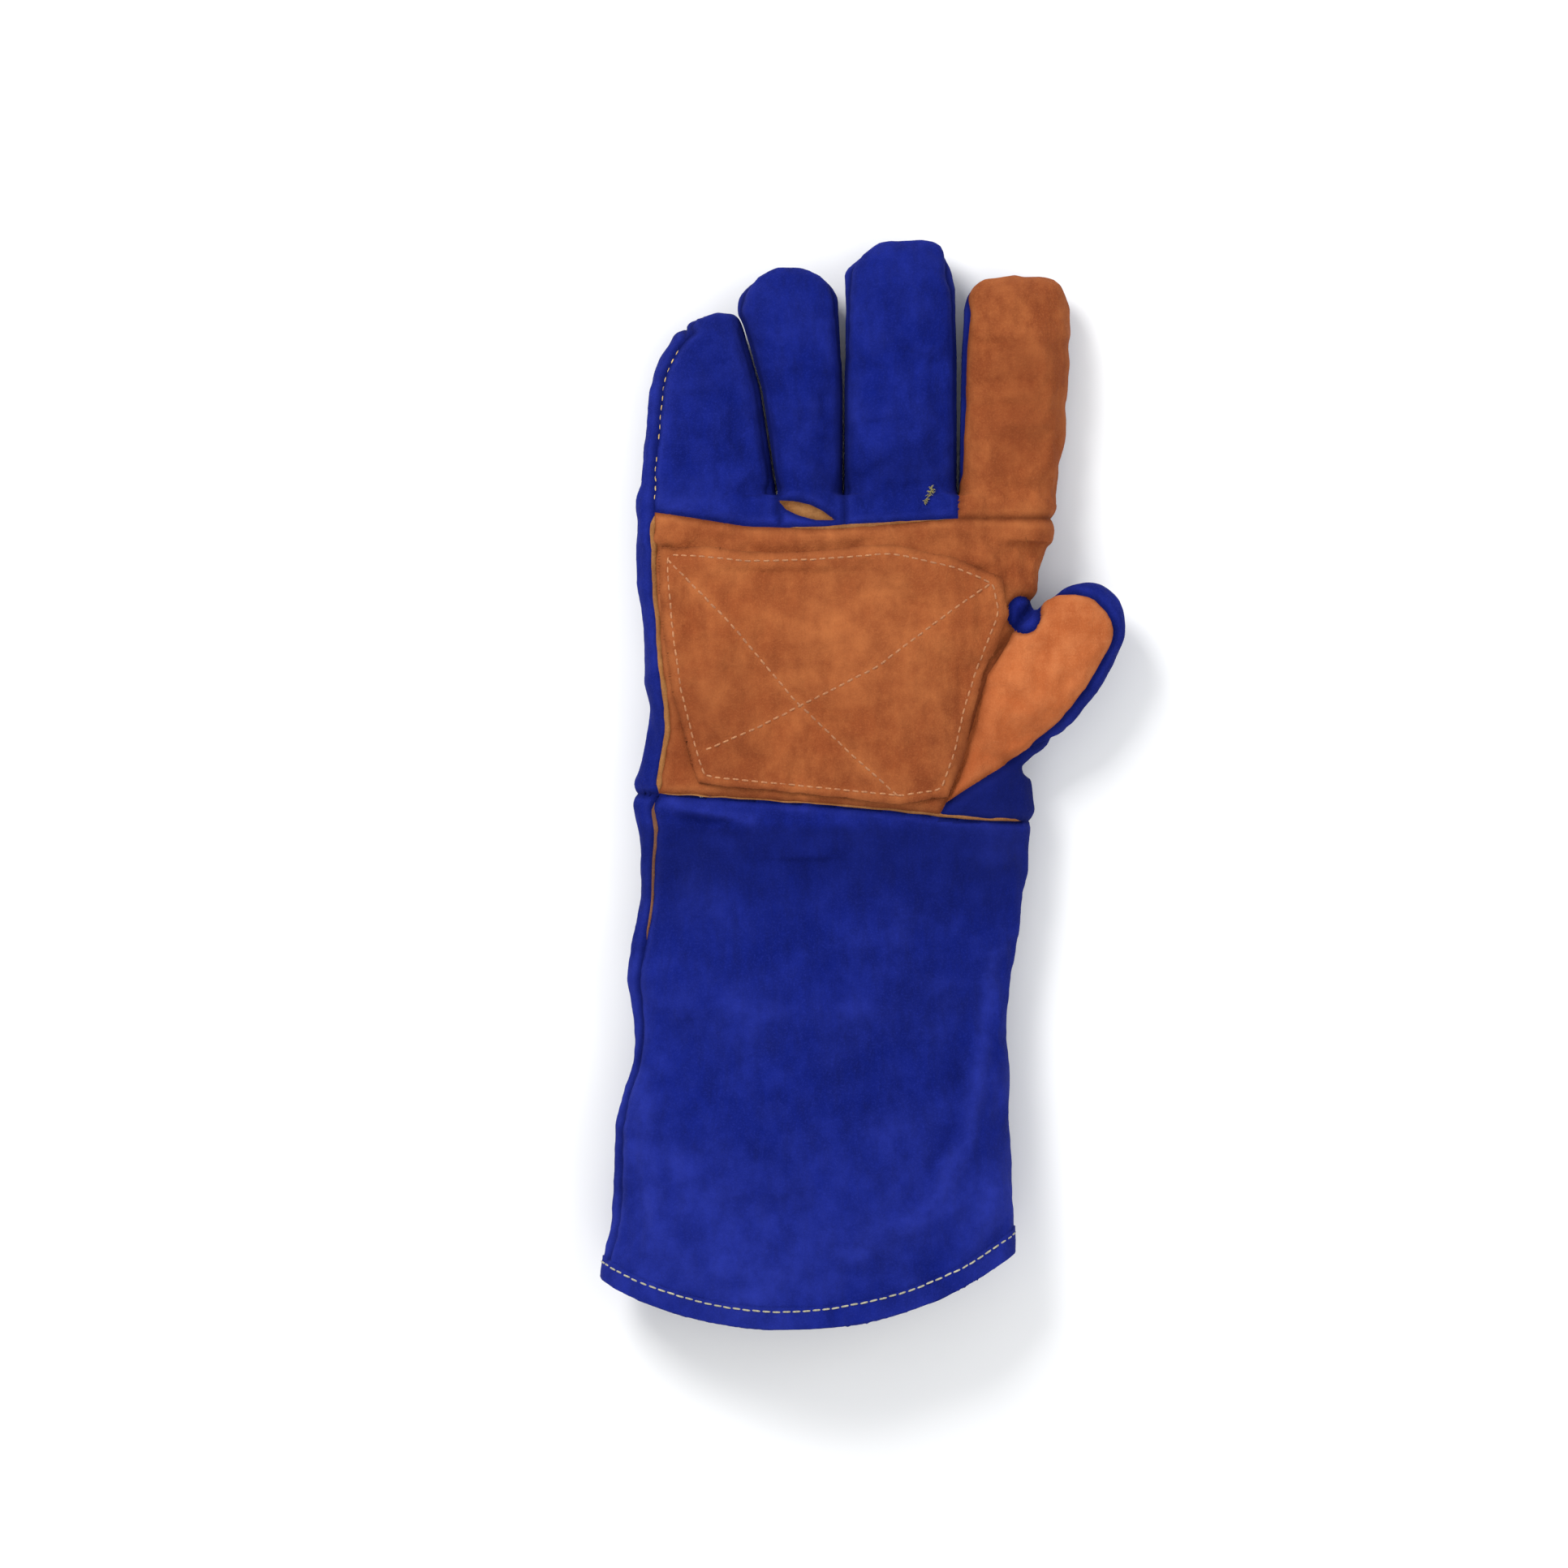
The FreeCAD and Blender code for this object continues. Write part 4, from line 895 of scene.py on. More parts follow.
def sheet(name, skin, chosen, material, out=0.0, thick=1.4, attributes=None, rim=3):
    """A closed sheet from the chosen triangles of a skin (points, triangles, normals): outer
    face, inner face and a rounded edge of rim rows. out lifts it, all over or per point."""
    points, tris, normals = skin
    used, inverse = np.unique(tris[chosen], return_inverse=True)
    tris = inverse.reshape(-1, 3)
    count = len(used)
    facing = normals[used]
    lift = np.broadcast_to(out, len(points))[used][:, None]
    outer = points[used] + facing * lift
    inner = points[used] + facing * (lift - thick)

    edges = half_edges(tris)
    key = np.sort(edges, axis=1)
    code = key[:, 0].astype(np.int64) * (count + 1) + key[:, 1]
    _, first, times = np.unique(code, return_index=True, return_counts=True)
    border = edges[first[times == 1]]
    outward = np.zeros((count, 3))      # away from the sheet at its edge, for the rounding
    for a, b in border:
        side = np.cross(outer[b] - outer[a], facing[a])
        length = np.linalg.norm(side)
        if length > 1e-9:
            outward[a] += side / length
            outward[b] += side / length
    length = np.linalg.norm(outward, axis=1)
    outward[length > 1e-9] /= length[length > 1e-9][:, None]

    ids = np.unique(border)
    verts, vert_normals = [outer, inner], [facing, -facing]
    for row in range(1, rim + 1):
        t = row / (rim + 1)
        bulge = math.sin(math.pi * t) * min(0.28 * thick, 0.45)
        verts.append(outer[ids] * (1 - t) + inner[ids] * t + outward[ids] * bulge)
        turned = outward[ids] * math.sin(math.pi * t) + facing[ids] * math.cos(math.pi * t)
        size = np.linalg.norm(turned, axis=1)
        vert_normals.append(turned / np.maximum(size, 1e-9)[:, None])

    place = {int(v): i for i, v in enumerate(ids)}

    def column(v):
        rows = [2 * count + row * len(ids) + place[v] for row in range(rim)]
        return [v] + rows + [v + count]

    faces = [tuple(t) for t in tris] + [(t[0] + count, t[2] + count, t[1] + count) for t in tris]
    for a, b in border:
        ca, cb = column(int(a)), column(int(b))
        for j in range(rim + 1):
            faces.append((cb[j], ca[j], ca[j + 1], cb[j + 1]))
    spread = {}
    for key, values in (attributes or {}).items():
        own = values[used]
        spread[key] = np.concatenate([own, own, np.tile(own[ids], rim)])
    return make_object(name, np.vstack(verts), faces, material, np.vstack(vert_normals), spread)


def at_y(y):
    return (0.0, y * MM, 0.0)


HAND_TO_CUFF = ("hand", "cuff", at_y(-41.5), at_y(-73.0))
HAND_TO_THUMB = ("hand", "thumb", (0.066, 0, 0), (0.097, 0, 0))


def base_blend(finger):
    end = 78.5 if finger == "little" else 80.5
    return ("hand", finger + "_lower", at_y(58.6), at_y(end))


def joint_blend(finger):
    joint = FINGER_SHAPES[finger]["joint"]
    before, after = (11.5, 12.5) if finger == "little" else (13.5, 14.5)
    return (finger + "_lower", finger + "_upper", at_y(joint - before), at_y(joint + after))


def settle(ob, node, motion):
    if node:
        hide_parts(node)
    if isinstance(motion, str):
        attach(ob, motion)
    else:
        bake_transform(ob)


# ------------------------------------------------------------------ settling of the leather
def tree_of(points):
    tree = KDTree(len(points))
    for i, point in enumerate(points):
        tree.insert(point, i)
    tree.balance()
    return tree


def nearest(points, targets, limit):
    """Distance to, and index of, the nearest target of each point, up to a limit."""
    tree = tree_of(targets)
    distance = np.full(len(points), limit)
    index = np.zeros(len(points), int)
    low, high = targets.min(0) - limit, targets.max(0) + limit
    for i in np.where(((points > low) & (points < high)).all(1))[0]:
        _, k, found = tree.find(points[i])
        if found < limit:
            distance[i] = found
            index[i] = k
    return distance, index


def cloth_pass(frames=16):
    """Lets the empty leather settle: the seams hold it, the panels between them are a little
    too big. Returns the rest points, how far each one moved, mm, and their fingers."""
    points, tris = shell_mesh(CLOTH_VOXEL, apart=1.8)
    pieces = piece_numbers(points[tris].mean(1))
    fingers = finger_of(points)
    points = points[:, :3].copy()
    points[:, 2] = np.maximum(points[:, 2], 0.0)
    count = len(points)
    seams = sewn_vertices(*border_edges(tris, pieces))
    distance, _ = nearest(points, points[seams], 16.0)
    # held at the seams, on the table and, less, low down
    held = np.clip(1 - (distance - 1.2) / 7.5, 0.0, 1.0) ** 1.4
    held = np.maximum(held, np.clip(1 - points[:, 2] / 3.0, 0, 1))
    held = np.maximum(held, 0.35 * (points[:, 2] < 12.0))

    mesh = bpy.data.meshes.new("cloth")
    mesh.from_pydata([tuple(v) for v in points * MM], [],
                     [tuple(int(i) for i in t) for t in tris])
    ob = bpy.data.objects.new("cloth", mesh)
    bpy.context.scene.collection.objects.link(ob)
    group = ob.vertex_groups.new(name="held")
    levels = 20
    for level in range(1, levels + 1):
        ids = np.where(np.round(held * levels).astype(int) == level)[0]
        if len(ids):
            group.add([int(i) for i in ids], level / float(levels), "REPLACE")
    modifier = ob.modifiers.new("cloth", "CLOTH")
    for key, value in dict(
            quality=5, mass=0.002, air_damping=3.0,
            tension_stiffness=12, compression_stiffness=12, shear_stiffness=6,
            bending_stiffness=0.05, tension_damping=8, compression_damping=8,
            shear_damping=6, bending_damping=0.6, vertex_group_mass="held",
            pin_stiffness=1.0, shrink_min=-0.045, use_pressure=False).items():
        setattr(modifier.settings, key, value)
    modifier.collision_settings.use_collision = False
    modifier.collision_settings.use_self_collision = False
    modifier.point_cache.frame_start = 1
    modifier.point_cache.frame_end = frames
    scene = bpy.context.scene
    start_frame = scene.frame_current
    for number in range(1, frames + 1):
        scene.frame_set(number)
    graph = bpy.context.evaluated_depsgraph_get()
    settled = ob.evaluated_get(graph).to_mesh()
    co = np.empty(count * 3, np.float32)
    settled.vertices.foreach_get("co", co)
    ob.evaluated_get(graph).to_mesh_clear()
    scene.frame_set(start_frame)
    bpy.data.objects.remove(ob)
    bpy.data.meshes.remove(mesh)

    moved = co.reshape(-1, 3).astype(float) / MM - points
    moved[~np.isfinite(moved).all(1)] = 0
    length, limit = np.linalg.norm(moved, axis=1), 3.2
    moved *= (limit * np.tanh(length / limit) / np.maximum(length, 1e-9))[:, None]
    moved = 0.6 * moved + 0.4 * neighbour_mean(moved, edges_of(tris))
    moved[:, :2] *= 0.45
    return points, moved, fingers


def carry_movement(cloth, targets, target_fingers):
    """The cloth pass's movement at other points, never taken from another finger."""
    points, moved, fingers = cloth
    tree = tree_of(points)
    result = np.zeros_like(targets)
    for i, target in enumerate(targets):
        total, movement = 0.0, np.zeros(3)
        for _, k, distance in tree.find_n(target, 5):
            if target[1] > 60 and fingers[k] != target_fingers[i]:
                continue
            weight = 1.0 / (distance * distance + 0.4)
            total += weight
            movement += weight * moved[k]
        if total:
            result[i] = movement / total
    return result


def finger_limits(fingers, gaps, clearance):
    """Lowest and highest x that keep each point in its own finger."""
    low = [np.full(fingers.shape, -999.0)] + [gap + clearance for gap in gaps]
    high = [gap - clearance for gap in gaps] + [np.full(fingers.shape, 999.0)]
    return np.choose(fingers, low), np.choose(fingers, high)


# ------------------------------------------------------------------ leather skin, cut in pieces
rest, tris = shell_mesh(SHELL_VOXEL)
for seam in (mouth_seam, hem_seam, wrist_seam, knuckle_seam, split_seam, front_seam, back_seam,
             tip_seam, crease_seam, heel_seam, base_welt_seam):
    rest, tris = cut(rest, tris, seam(rest))
tris = tris[mouth_seam(rest[tris].mean(1)) > 0]
used, inverse = np.unique(tris, return_inverse=True)
rest, tris = cut(rest[used], inverse.reshape(-1, 3), patch_seam(rest[used]))
pieces = piece_numbers(rest[tris].mean(1))
fingers = finger_of(rest)
rest = rest[:, :3].copy()
borders, border_pairs = border_edges(tris, pieces)
seam_points = rest[sewn_vertices(borders, border_pairs)]
seam_distance, seam_nearest = nearest(rest, seam_points, 11.0)
gaps = gap_lines(rest[:, 1])
gap_distance = np.min([np.abs(rest[:, 0] - gap) for gap in gaps], axis=0)


# ------------------------------------------------------------------ folds and wrinkles
def noise_field(points, scale, seed):
    offset = Vector((seed * 17.3, seed * 5.1, seed * 9.7))
    k = 1.0 / scale
    return np.array([noise.noise(Vector((p[0] * k, p[1] * k, p[2] * k)) + offset)
                     for p in points])


def stretched_noise(points, sx, sy, sz, seed):
    offset = Vector((seed * 13.3, seed * 7.1, seed * 3.7))
    return np.array([noise.noise(Vector((p[0] / sx, p[1] / sy, p[2] / sz)) + offset)
                     for p in points])


def fold(path, height, width, above=15.0, below=99.0):
    """A soft ridge or valley along a line in plan, between two heights."""
    x, y, z = rest.T
    fade = np.ones_like(x)
    for end in (path[0], path[-1]):
        fade = np.minimum(fade, ease(np.hypot(x - end[0], y - end[1]) / (width * 2.5)))
    return height * bell(line_distance(path, x, y), width) * fade * ((z > above) & (z < below))


def leather_relief(fine):
    """How far each point stands out from the smooth shell, mm."""
    x, y, z = rest.T
    on_finger, on_cuff = rise(y, 52, 66.0), rise(y, -56, -76.0)
    relief = 1.1 * noise_field(rest, 34, 1) * (1 + 0.9 * on_cuff)
    relief += 0.62 * noise_field(rest, 13, 2) + 0.22 * fine
    # creases across the fingers
    relief += on_finger * 0.75 * stretched_noise(rest, 26, 6.5, 16, 4)
    # the groove of each seam, the roll beside it and the gathers running from it
    gathers = noise_field(seam_points[seam_nearest], 5.2, 5)
    relief += (-1.25 * np.exp(-seam_distance / 1.5) + 0.55 * bell(seam_distance - 4.2, 2.6)
               + 0.85 * gathers * np.exp(-seam_distance / 4.2)
               * (1 - np.exp(-seam_distance / 0.8)))
    for height, width, path in FRONT_FOLDS:
        relief += fold(path, height, width)
    for height, width, path in BACK_FOLDS:
        relief += fold(path, height, width, above=-5.0, below=14.0)
    for index, name in enumerate(FINGERS):
        joint = FINGER_SHAPES[name]["joint"]
        centre = sum(edge_pair(FINGER_SHAPES[name]["edges"], joint)) / 2
        crease = fold([(centre - 22, joint), (centre + 22, joint)], -0.7, 3.4, -5.0, 40.0)
        relief += crease * (fingers == index) * (y > 70)
    relief *= free_of_gap
    relief += -1.6 * ease(base_welt_seam(rest) / 1.2)
    return np.clip(relief, -2.6, 2.3)


# 1, falling to 0 where two fingers touch
free_of_gap = 1 - (1 - np.clip((gap_distance - 0.5) / 4.5, 0.0, 1)) * rise(rest[:, 1], 54, 62.0)
fine_noise = noise_field(rest, 5.0, 3)
relief = leather_relief(fine_noise)
cloth = cloth_pass()
movement = carry_movement(cloth, rest, fingers)
movement[:, 0] *= free_of_gap
off_table = 0.25 + 0.75 * rise(rest[:, 2], 1.0, 8.0)    # the resting side keeps its plane
points = rest + point_normals(rest, tris) * relief[:, None] * off_table[:, None] + movement
points[:, 2] = np.where(points[:, 2] < 0.12, 0.12 + 0.10 * fine_noise, points[:, 2])
points[:, 2] = np.maximum(points[:, 2], 0.0)
points[:, 0] = np.where(points[:, 1] > 62.5,
                        np.clip(points[:, 0], *finger_limits(fingers, gaps, 0.2)), points[:, 0])
# the palm's lower edge lies a little over the cuff
from_wrist, high_up = wrist_seam(points), rest[:, 2] > 22
points[:, 2] += (
    np.where((from_wrist > 0) & high_up, 0.7 * np.exp(-from_wrist / 4.0), 0)
    - np.where((from_wrist <= 0) & high_up, 1.2 * np.exp(from_wrist / 3.5), 0))
normals = point_normals(points, tris)
skin = (points, tris, normals)


# ------------------------------------------------------------------ wear, painted highlight and painted shade
def wear_and_highlight_places():
    """Where the leather is lighter, 0 to 1: rubbed wear, painted highlight on fold crests and
    painted light towards the cuff's end.
    """
    x, y, z = points.T
    worn = (np.clip(0.5 + 1.0 * noise_field(points, 24, 8), 0, 1)
            * np.clip(0.35 + relief * 0.35, 0, 1))
    worn += 0.45 * bell(seam_distance - 2.4, 1.0)                       # beside the seams
    worn += 0.75 * bell(x - 6.0, 26.0) * bell(y - 16.0, 20.0) * (z > 20)    # mid palm
    worn += (0.62 * rise(y, -150, -210.0)                               # painted light: lighter towards the cuff's end
             * np.clip(0.75 + noise_field(points, 22, 15), 0, 1))
    for amount, width, path in LIGHT_STREAKS:
        worn += amount * bell(line_distance(path, rest[:, 0], rest[:, 1]), width) * (
            rest[:, 2] > 15)
    return np.clip(worn, 0, 1)


def dark_places():
    """Where the colour is darker, 0 to 1: painted shade in creases, between the fingers and on
    the cuff under the hand's edge, and some darker tone.
    """
    x, y, z = points.T
    crease, heel = crease_seam(points), heel_seam(points)
    # painted shade on the cuff below the wrist, under the hand's edge
    tone = 0.55 * rise(y, -57, -62.0) * rise(y, -108, -68.0) * rise(z, 14, 22.0)
    # middle of the index finger darker; painted shade in the gaps between the fingers
    tone += 0.35 * bell(x - 64.0, 9.0) * rise(y, 66, 76.0) * rise(y, 128, 114.0)
    tone += 0.30 * bell(gap_distance, 4.0) * rise(y, 60, 68.0)
    # painted shade in the thumb crease; the heel darker
    tone += 0.35 * bell(np.clip(crease, -9, 9), 3.5) * (y > -50) * (y < 12) * (z > 18)
    tone += 0.75 * (crease > 0) * (heel < 0) * (z > 14) * (y > -60)
    # painted shade at the base of the middle finger and in the line between ring and middle
    tone += 0.55 * bell(x - 26.0, 13.0) * bell(y - 74.0, 8.0) * (z > 15)
    tone += 0.35 * bell(x + 2.0, 7.0) * rise(y, 58, 66.0) * rise(y, 122, 102.0)
    # darker on the palm's lower left, the lower thumb and the outer side of the index finger
    tone += 0.30 * rise(x, -20, -50.0) * rise(y, -46, -36.0) * rise(y, 20, -20.0) * (z > 20)
    tone += 0.45 * rise(y, 6, -24.0) * (crease > 0) * (heel > 0) * (z > 14)
    tone += 0.35 * rise(x, 60, 74.0) * rise(y, 72, 86.0) * rise(y, 126, 116.0)
    return np.clip(tone, 0, 1)


# Colour marks on the leather: dark seams, wear with painted highlight, and painted shade with
# some darker tone
WEAR_AND_PAINTED_LIGHT = {"seam": np.clip(np.exp(-seam_distance / 1.3) * 1.05, 0, 1),
        "worn": wear_and_highlight_places(), "tone": dark_places()}


# ------------------------------------------------------------------ leather pieces
def leather(node, chosen, material, motion, replaces=True, **options):
    options.setdefault("attributes", WEAR_AND_PAINTED_LIGHT)
    ob = sheet(node + "_leather", skin, chosen, material, **options)
    settle(ob, node if replaces else None, motion)


LEATHERS = [    # (piece, node, material, motion)
    (HAND_BACK, "hand_back", BLUE, HAND_TO_CUFF),
    (PALM, "palm_base", TAN, HAND_TO_CUFF),
    (HEEL, "thumb_heel", BLUE, HAND_TO_CUFF),
    (THUMB_FRONT, "thumb_front", THUMB_TAN, HAND_TO_THUMB),
    (THUMB_BACK, "thumb_back", BLUE, HAND_TO_THUMB),
    (CUFF_FRONT, "cuff_front", BLUE, HAND_TO_CUFF),
    (CUFF_BACK, "cuff_back", BLUE, HAND_TO_CUFF),
    (HAND_BACK_SIDE, "hand_back_side", BLUE, HAND_TO_THUMB),
    (HEEL_SIDE, "thumb_heel_side", BLUE, HAND_TO_THUMB),
]
for index, finger in enumerate(FINGERS):
    for upper, level in enumerate(("lower", "upper")):
        for kind, word in enumerate(("front", "fourchette", "back")):
            LEATHERS.append((
                finger_piece(index, kind, upper), f"{finger}_{word}_{level}",
                TAN if kind == FRONT and index == INDEX else BLUE,
                joint_blend(finger) if upper else base_blend(finger)))
for number, node, material, motion in LEATHERS:
    if (pieces == number).any():
        leather(node, pieces == number, material, motion,
                replaces=number not in (HAND_BACK_SIDE, HEEL_SIDE))

# Binding folded over the cuff's edge, and the sliver below the ring finger
leather("cuff_hem_binding", pieces == HEM_BINDING, BLUE, HAND_TO_CUFF, out=0.6, thick=3.5, rim=6)
leather("finger_base_welt", pieces == BASE_WELT, WELT, base_blend("ring"))

# Palm patch: a second layer, its edge lifted unevenly
patch_distance = outline_distance(PATCH_OUTLINE, points[:, 0], points[:, 1])
inside_patch = np.clip(patch_distance, 0, 99)
patch_lift = 1.52 + np.exp(-inside_patch / 2.2) * (
    0.22 + 0.9 * np.clip(noise_field(points, 24, 11), 0, 1))
patch_tris = (pieces == PALM) & (patch_seam(points[tris].mean(1)) > 0)
# The patch's colour marks: dark along its edge, a lighter line just inside it, and the glove's
# painted shade and highlight
patch_wear_and_painted_light = {
    "seam": np.clip(0.75 * np.exp(-inside_patch / 0.7)
                    + WEAR_AND_PAINTED_LIGHT["seam"] * 0.5 * (patch_distance > 2.0), 0, 1),
    "worn": np.clip(WEAR_AND_PAINTED_LIGHT["worn"] + 0.5 * bell(patch_distance - 1.8, 1.0), 0, 1),
    "tone": WEAR_AND_PAINTED_LIGHT["tone"]}
leather("palm_patch", patch_tris, TAN, HAND_TO_CUFF, out=patch_lift, rim=4,
        attributes=patch_wear_and_painted_light)


# ------------------------------------------------------------------ paths on the leather
def surface_tree(chosen=slice(None), lift=0.0):
    """A tree for casting rays at the chosen triangles of the leather."""
    lifted = points + normals * np.broadcast_to(lift, len(points))[:, None]
    return BVHTree.FromPolygons([Vector(p) for p in lifted],
                                [tuple(int(i) for i in t) for t in tris[chosen]])


SKIN_TREE = surface_tree()
PATCH_TREE = surface_tree(patch_tris, np.where(patch_distance > 0, patch_lift, 0.0))


def drop(tree, x, y):
    """Top of a surface at x, y: (point, normal) or None."""
    place, normal, _, _ = tree.ray_cast(Vector((x, y, 90.0)), Vector((0, 0, -1)))
    if place is None:
        return None
    return np.array(place), np.array(normal if normal.z > 0 else -normal)


def along(path, step):
    """Even points along a line, about a step apart."""
    path = np.array([np.array(p, float) for p in path])
    at = [0.0]
    for a, b in zip(path[:-1], path[1:]):
        at.append(at[-1] + np.linalg.norm(b - a))
    t = np.linspace(0, at[-1], max(2, int(at[-1] / step) + 1))
    return np.stack([np.interp(t, at, path[:, k]) for k in range(path.shape[1])], 1)


def soften(path, times):
    for _ in range(times):
        path[1:-1] = path[1:-1] * 0.5 + (path[:-2] + path[2:]) * 0.25


def even_path(places, facing):
    places, facing = np.array(places), np.array(facing)
    soften(places, 3)
    for _ in range(3):
        facing[1:-1] = (facing[:-2] + facing[1:-1] + facing[2:]) / 3
    return places, facing


def patch_path(path):
    """A plan line laid on the patch, or on the leather beside it."""
    hits = [drop(PATCH_TREE, x, y) or drop(SKIN_TREE, x, y) for x, y in along(path, 1.0)]
    hits = [hit for hit in hits if hit is not None]
    return even_path([hit[0] for hit in hits], [hit[1] for hit in hits])


def hem_path(from_edge, out, count=420):
    """A closed path round the cuff, a set distance from its rounded edge."""
    radius = MOUTH_RADIUS - from_edge
    places, facing = [], []
    for angle in np.linspace(0, 2 * math.pi, count, endpoint=False):
        direction = Vector((math.cos(angle), 0, math.sin(angle)))
        y, hit = -230.0, None
        for _ in range(18):
            found = SKIN_TREE.ray_cast(Vector((-12.0, y, 24.0)), direction)
            if found[0] is None:
                y += 3.0
                continue
            hit = found
            y = MOUTH_Y - math.sqrt(max(radius * radius - (hit[0].x - MOUTH_X) ** 2, 1.0))
        if hit is not None:
            normal = np.array(hit[1] if hit[1].dot(direction) > 0 else -hit[1])
            places.append(np.array(hit[0]) + normal * out)
            facing.append(normal)
    places.append(places[0])
    facing.append(facing[0])
    return even_path(places, facing)


def seam_path(pairs, wanted, step, axis=1):
    """A smooth path along the borders between pairs of pieces, running along an axis."""
    chosen = np.array([(int(a), int(b)) in pairs or (int(b), int(a)) in pairs
                       for a, b in border_pairs])
    ids = np.unique(borders[chosen])
    ids = ids[wanted(points[ids])]
    at = points[ids, axis]
    places, facing = [], []
    for station in np.arange(at.min(), at.max(), step):
        close = np.abs(at - station) < step * 1.4
        if close.any():
            places.append(points[ids][close].mean(0))
            facing.append(normals[ids][close].mean(0))
    places, facing = np.array(places), np.array(facing)
    soften(places, 2)
    return places, facing / np.linalg.norm(facing, axis=1)[:, None]


# ------------------------------------------------------------------ stitches
# (position along a stitch, share of its radius)
STITCH_PROFILE = [(0.0, 0.25), (0.05, 0.62), (0.15, 0.92), (0.35, 1.0), (0.65, 1.0),
                  (0.85, 0.92), (0.95, 0.62), (1.0, 0.25)]


def stitch(start, end, radius, up, around=8):
    """A short rounded length of thread, dipping into the leather at its ends."""
    sag = radius * 0.9
    axis = end - start
    length = np.linalg.norm(axis)
    axis = axis / length
    side = np.cross(axis, up)
    side /= np.linalg.norm(side)
    up = np.cross(side, axis)
    verts = []
    for t, share in STITCH_PROFILE:
        centre = start + axis * length * t - up * sag * (2 * t - 1) ** 4 + up * sag * 0.4
        for j in range(around):
            angle = 2 * math.pi * j / around
            verts.append(centre + (side * math.cos(angle) * radius
                                   + up * math.sin(angle) * radius * 0.85) * share)
    rings = len(STITCH_PROFILE)
    faces = [(a, d, c, b) for a, b, c, d in tube_sides(rings, around)]
    faces.append(tuple(range(around)))
    faces.append(tuple((rings - 1) * around + j for j in reversed(range(around))))
    return verts, faces


def stitches(path, pitch, length, radius, sink, seed):
    """Separate stitches along a path, slightly uneven."""
    places, facing = path
    rng = np.random.RandomState(seed)
    jitter = 0.12
    at = np.concatenate([[0], np.cumsum(np.linalg.norm(np.diff(places, axis=0), axis=1))])

    def value(rows, t):
        return np.array([np.interp(t, at, rows[:, k]) for k in range(3)])

    made = []
    t = pitch * 0.5
    while t + length < at[-1]:
        start, end = value(places, t), value(places, t + length)
        up = value(facing, t + length / 2)
        up /= np.linalg.norm(up)
        side = np.cross((end - start) / np.linalg.norm(end - start), up)
        start_off, end_off = rng.uniform(-jitter, jitter, 2)
        made.append(stitch(start + side * start_off - up * sink,
                           end + side * end_off - up * sink, radius, up))
        t += pitch * (1 + rng.uniform(-0.04, 0.04))
    return merge(*made)


def inset(outline, distance):
    """The outline moved inwards."""
    outline = np.array(outline)
    moved = []
    for i in range(len(outline)):
        before, corner, after = outline[i - 1], outline[i], outline[(i + 1) % len(outline)]
        first = (corner - before) / np.linalg.norm(corner - before)
        second = (after - corner) / np.linalg.norm(after - corner)
        first = np.array([first[1], -first[0]])
        second = np.array([second[1], -second[0]])
        middle = first + second
        middle /= np.linalg.norm(middle)
        moved.append(tuple(corner + middle * distance / max(0.5, float(middle @ first))))
    return moved


patch_row = dict(pitch=3.5, length=2.7, sink=0.10)
around_patch = inset(PATCH_OUTLINE, 2.6)
ob = make_object("palm_patch_stitches", *merge(
    stitches(patch_path(around_patch + around_patch[:1]), radius=0.36, seed=3, **patch_row),
    stitches(patch_path(PATCH_ROW_DOWN), radius=0.38, seed=4, **patch_row),
    stitches(patch_path(PATCH_ROW_UP), radius=0.38, seed=5, **patch_row)), TAN_THREAD)
settle(ob, "palm_patch_stitching", HAND_TO_CUFF)

ob = make_object("cuff_hem_stitches", *stitches(
    hem_path(from_edge=5.6, out=0.78), pitch=3.7, length=3.0, radius=0.34, sink=0.08, seed=8),
    HEM_THREAD)
settle(ob, "cuff_hem_stitching", HAND_TO_CUFF)


# ------------------------------------------------------------------ welts
def strip(path, width, height, base, seed, around=12):
    """A flattened cord of leather standing in a seam; width is a function of 0 to 1 along it,
    base how far its middle stands above the seam."""
    places, facing = path
    count = len(places)
    wobble = 0.25
    verts = []
    for i, t in enumerate(np.linspace(0, 1, count)):
        axis = places[min(i + 1, count - 1)] - places[max(i - 1, 0)]
        axis /= np.linalg.norm(axis)
        side = np.cross(axis, facing[i])
        side /= np.linalg.norm(side)
        up = np.cross(side, axis)
        broad = noise.noise(Vector(places[i] / 7.0) + Vector((seed * 3.1, 0, 0)))
        small = noise.noise(Vector(places[i] / 3.0) + Vector((0, seed * 2.3, 0)))
        end = min(1.0, (min(i, count - 1 - i) + 0.35) / 2.5)
        for j in range(around):
            angle = 2 * math.pi * j / around
            c, s = math.cos(angle), math.sin(angle)
            c = math.copysign(abs(c) ** 0.8, c)
            s = math.copysign(abs(s) ** 0.8, s)
            sideways = c * width(t) / 2 * (1 + wobble * small) + broad * 0.5
            upwards = base + s * height / 2 * (1 + wobble * broad)
            verts.append(places[i] + side * sideways * end + up * upwards * end)
    return verts, capped_tube(count, around)


path = seam_path({(PALM, HAND_BACK)},
                 lambda p: (p[:, 0] < -50) & (p[:, 1] > -49) & (p[:, 1] < 58), step=1.6)
ob = make_object("hand_side_welt_leather",
                 *strip(path, lambda t: 2.3, height=2.2, base=0.25, seed=1), WELT)
settle(ob, "hand_side_welt", HAND_TO_CUFF)

path = seam_path({(CUFF_FRONT, CUFF_BACK)},
                 lambda p: (p[:, 0] < -50) & (p[:, 1] > -104) & (p[:, 1] < -49), step=1.6)
ob = make_object("cuff_side_welt_leather",
                 *strip(path, lambda t: 0.9 + 1.3 * t, height=1.6, base=0.1, seed=2), CUFF_WELT)
settle(ob, "cuff_side_welt", HAND_TO_CUFF)

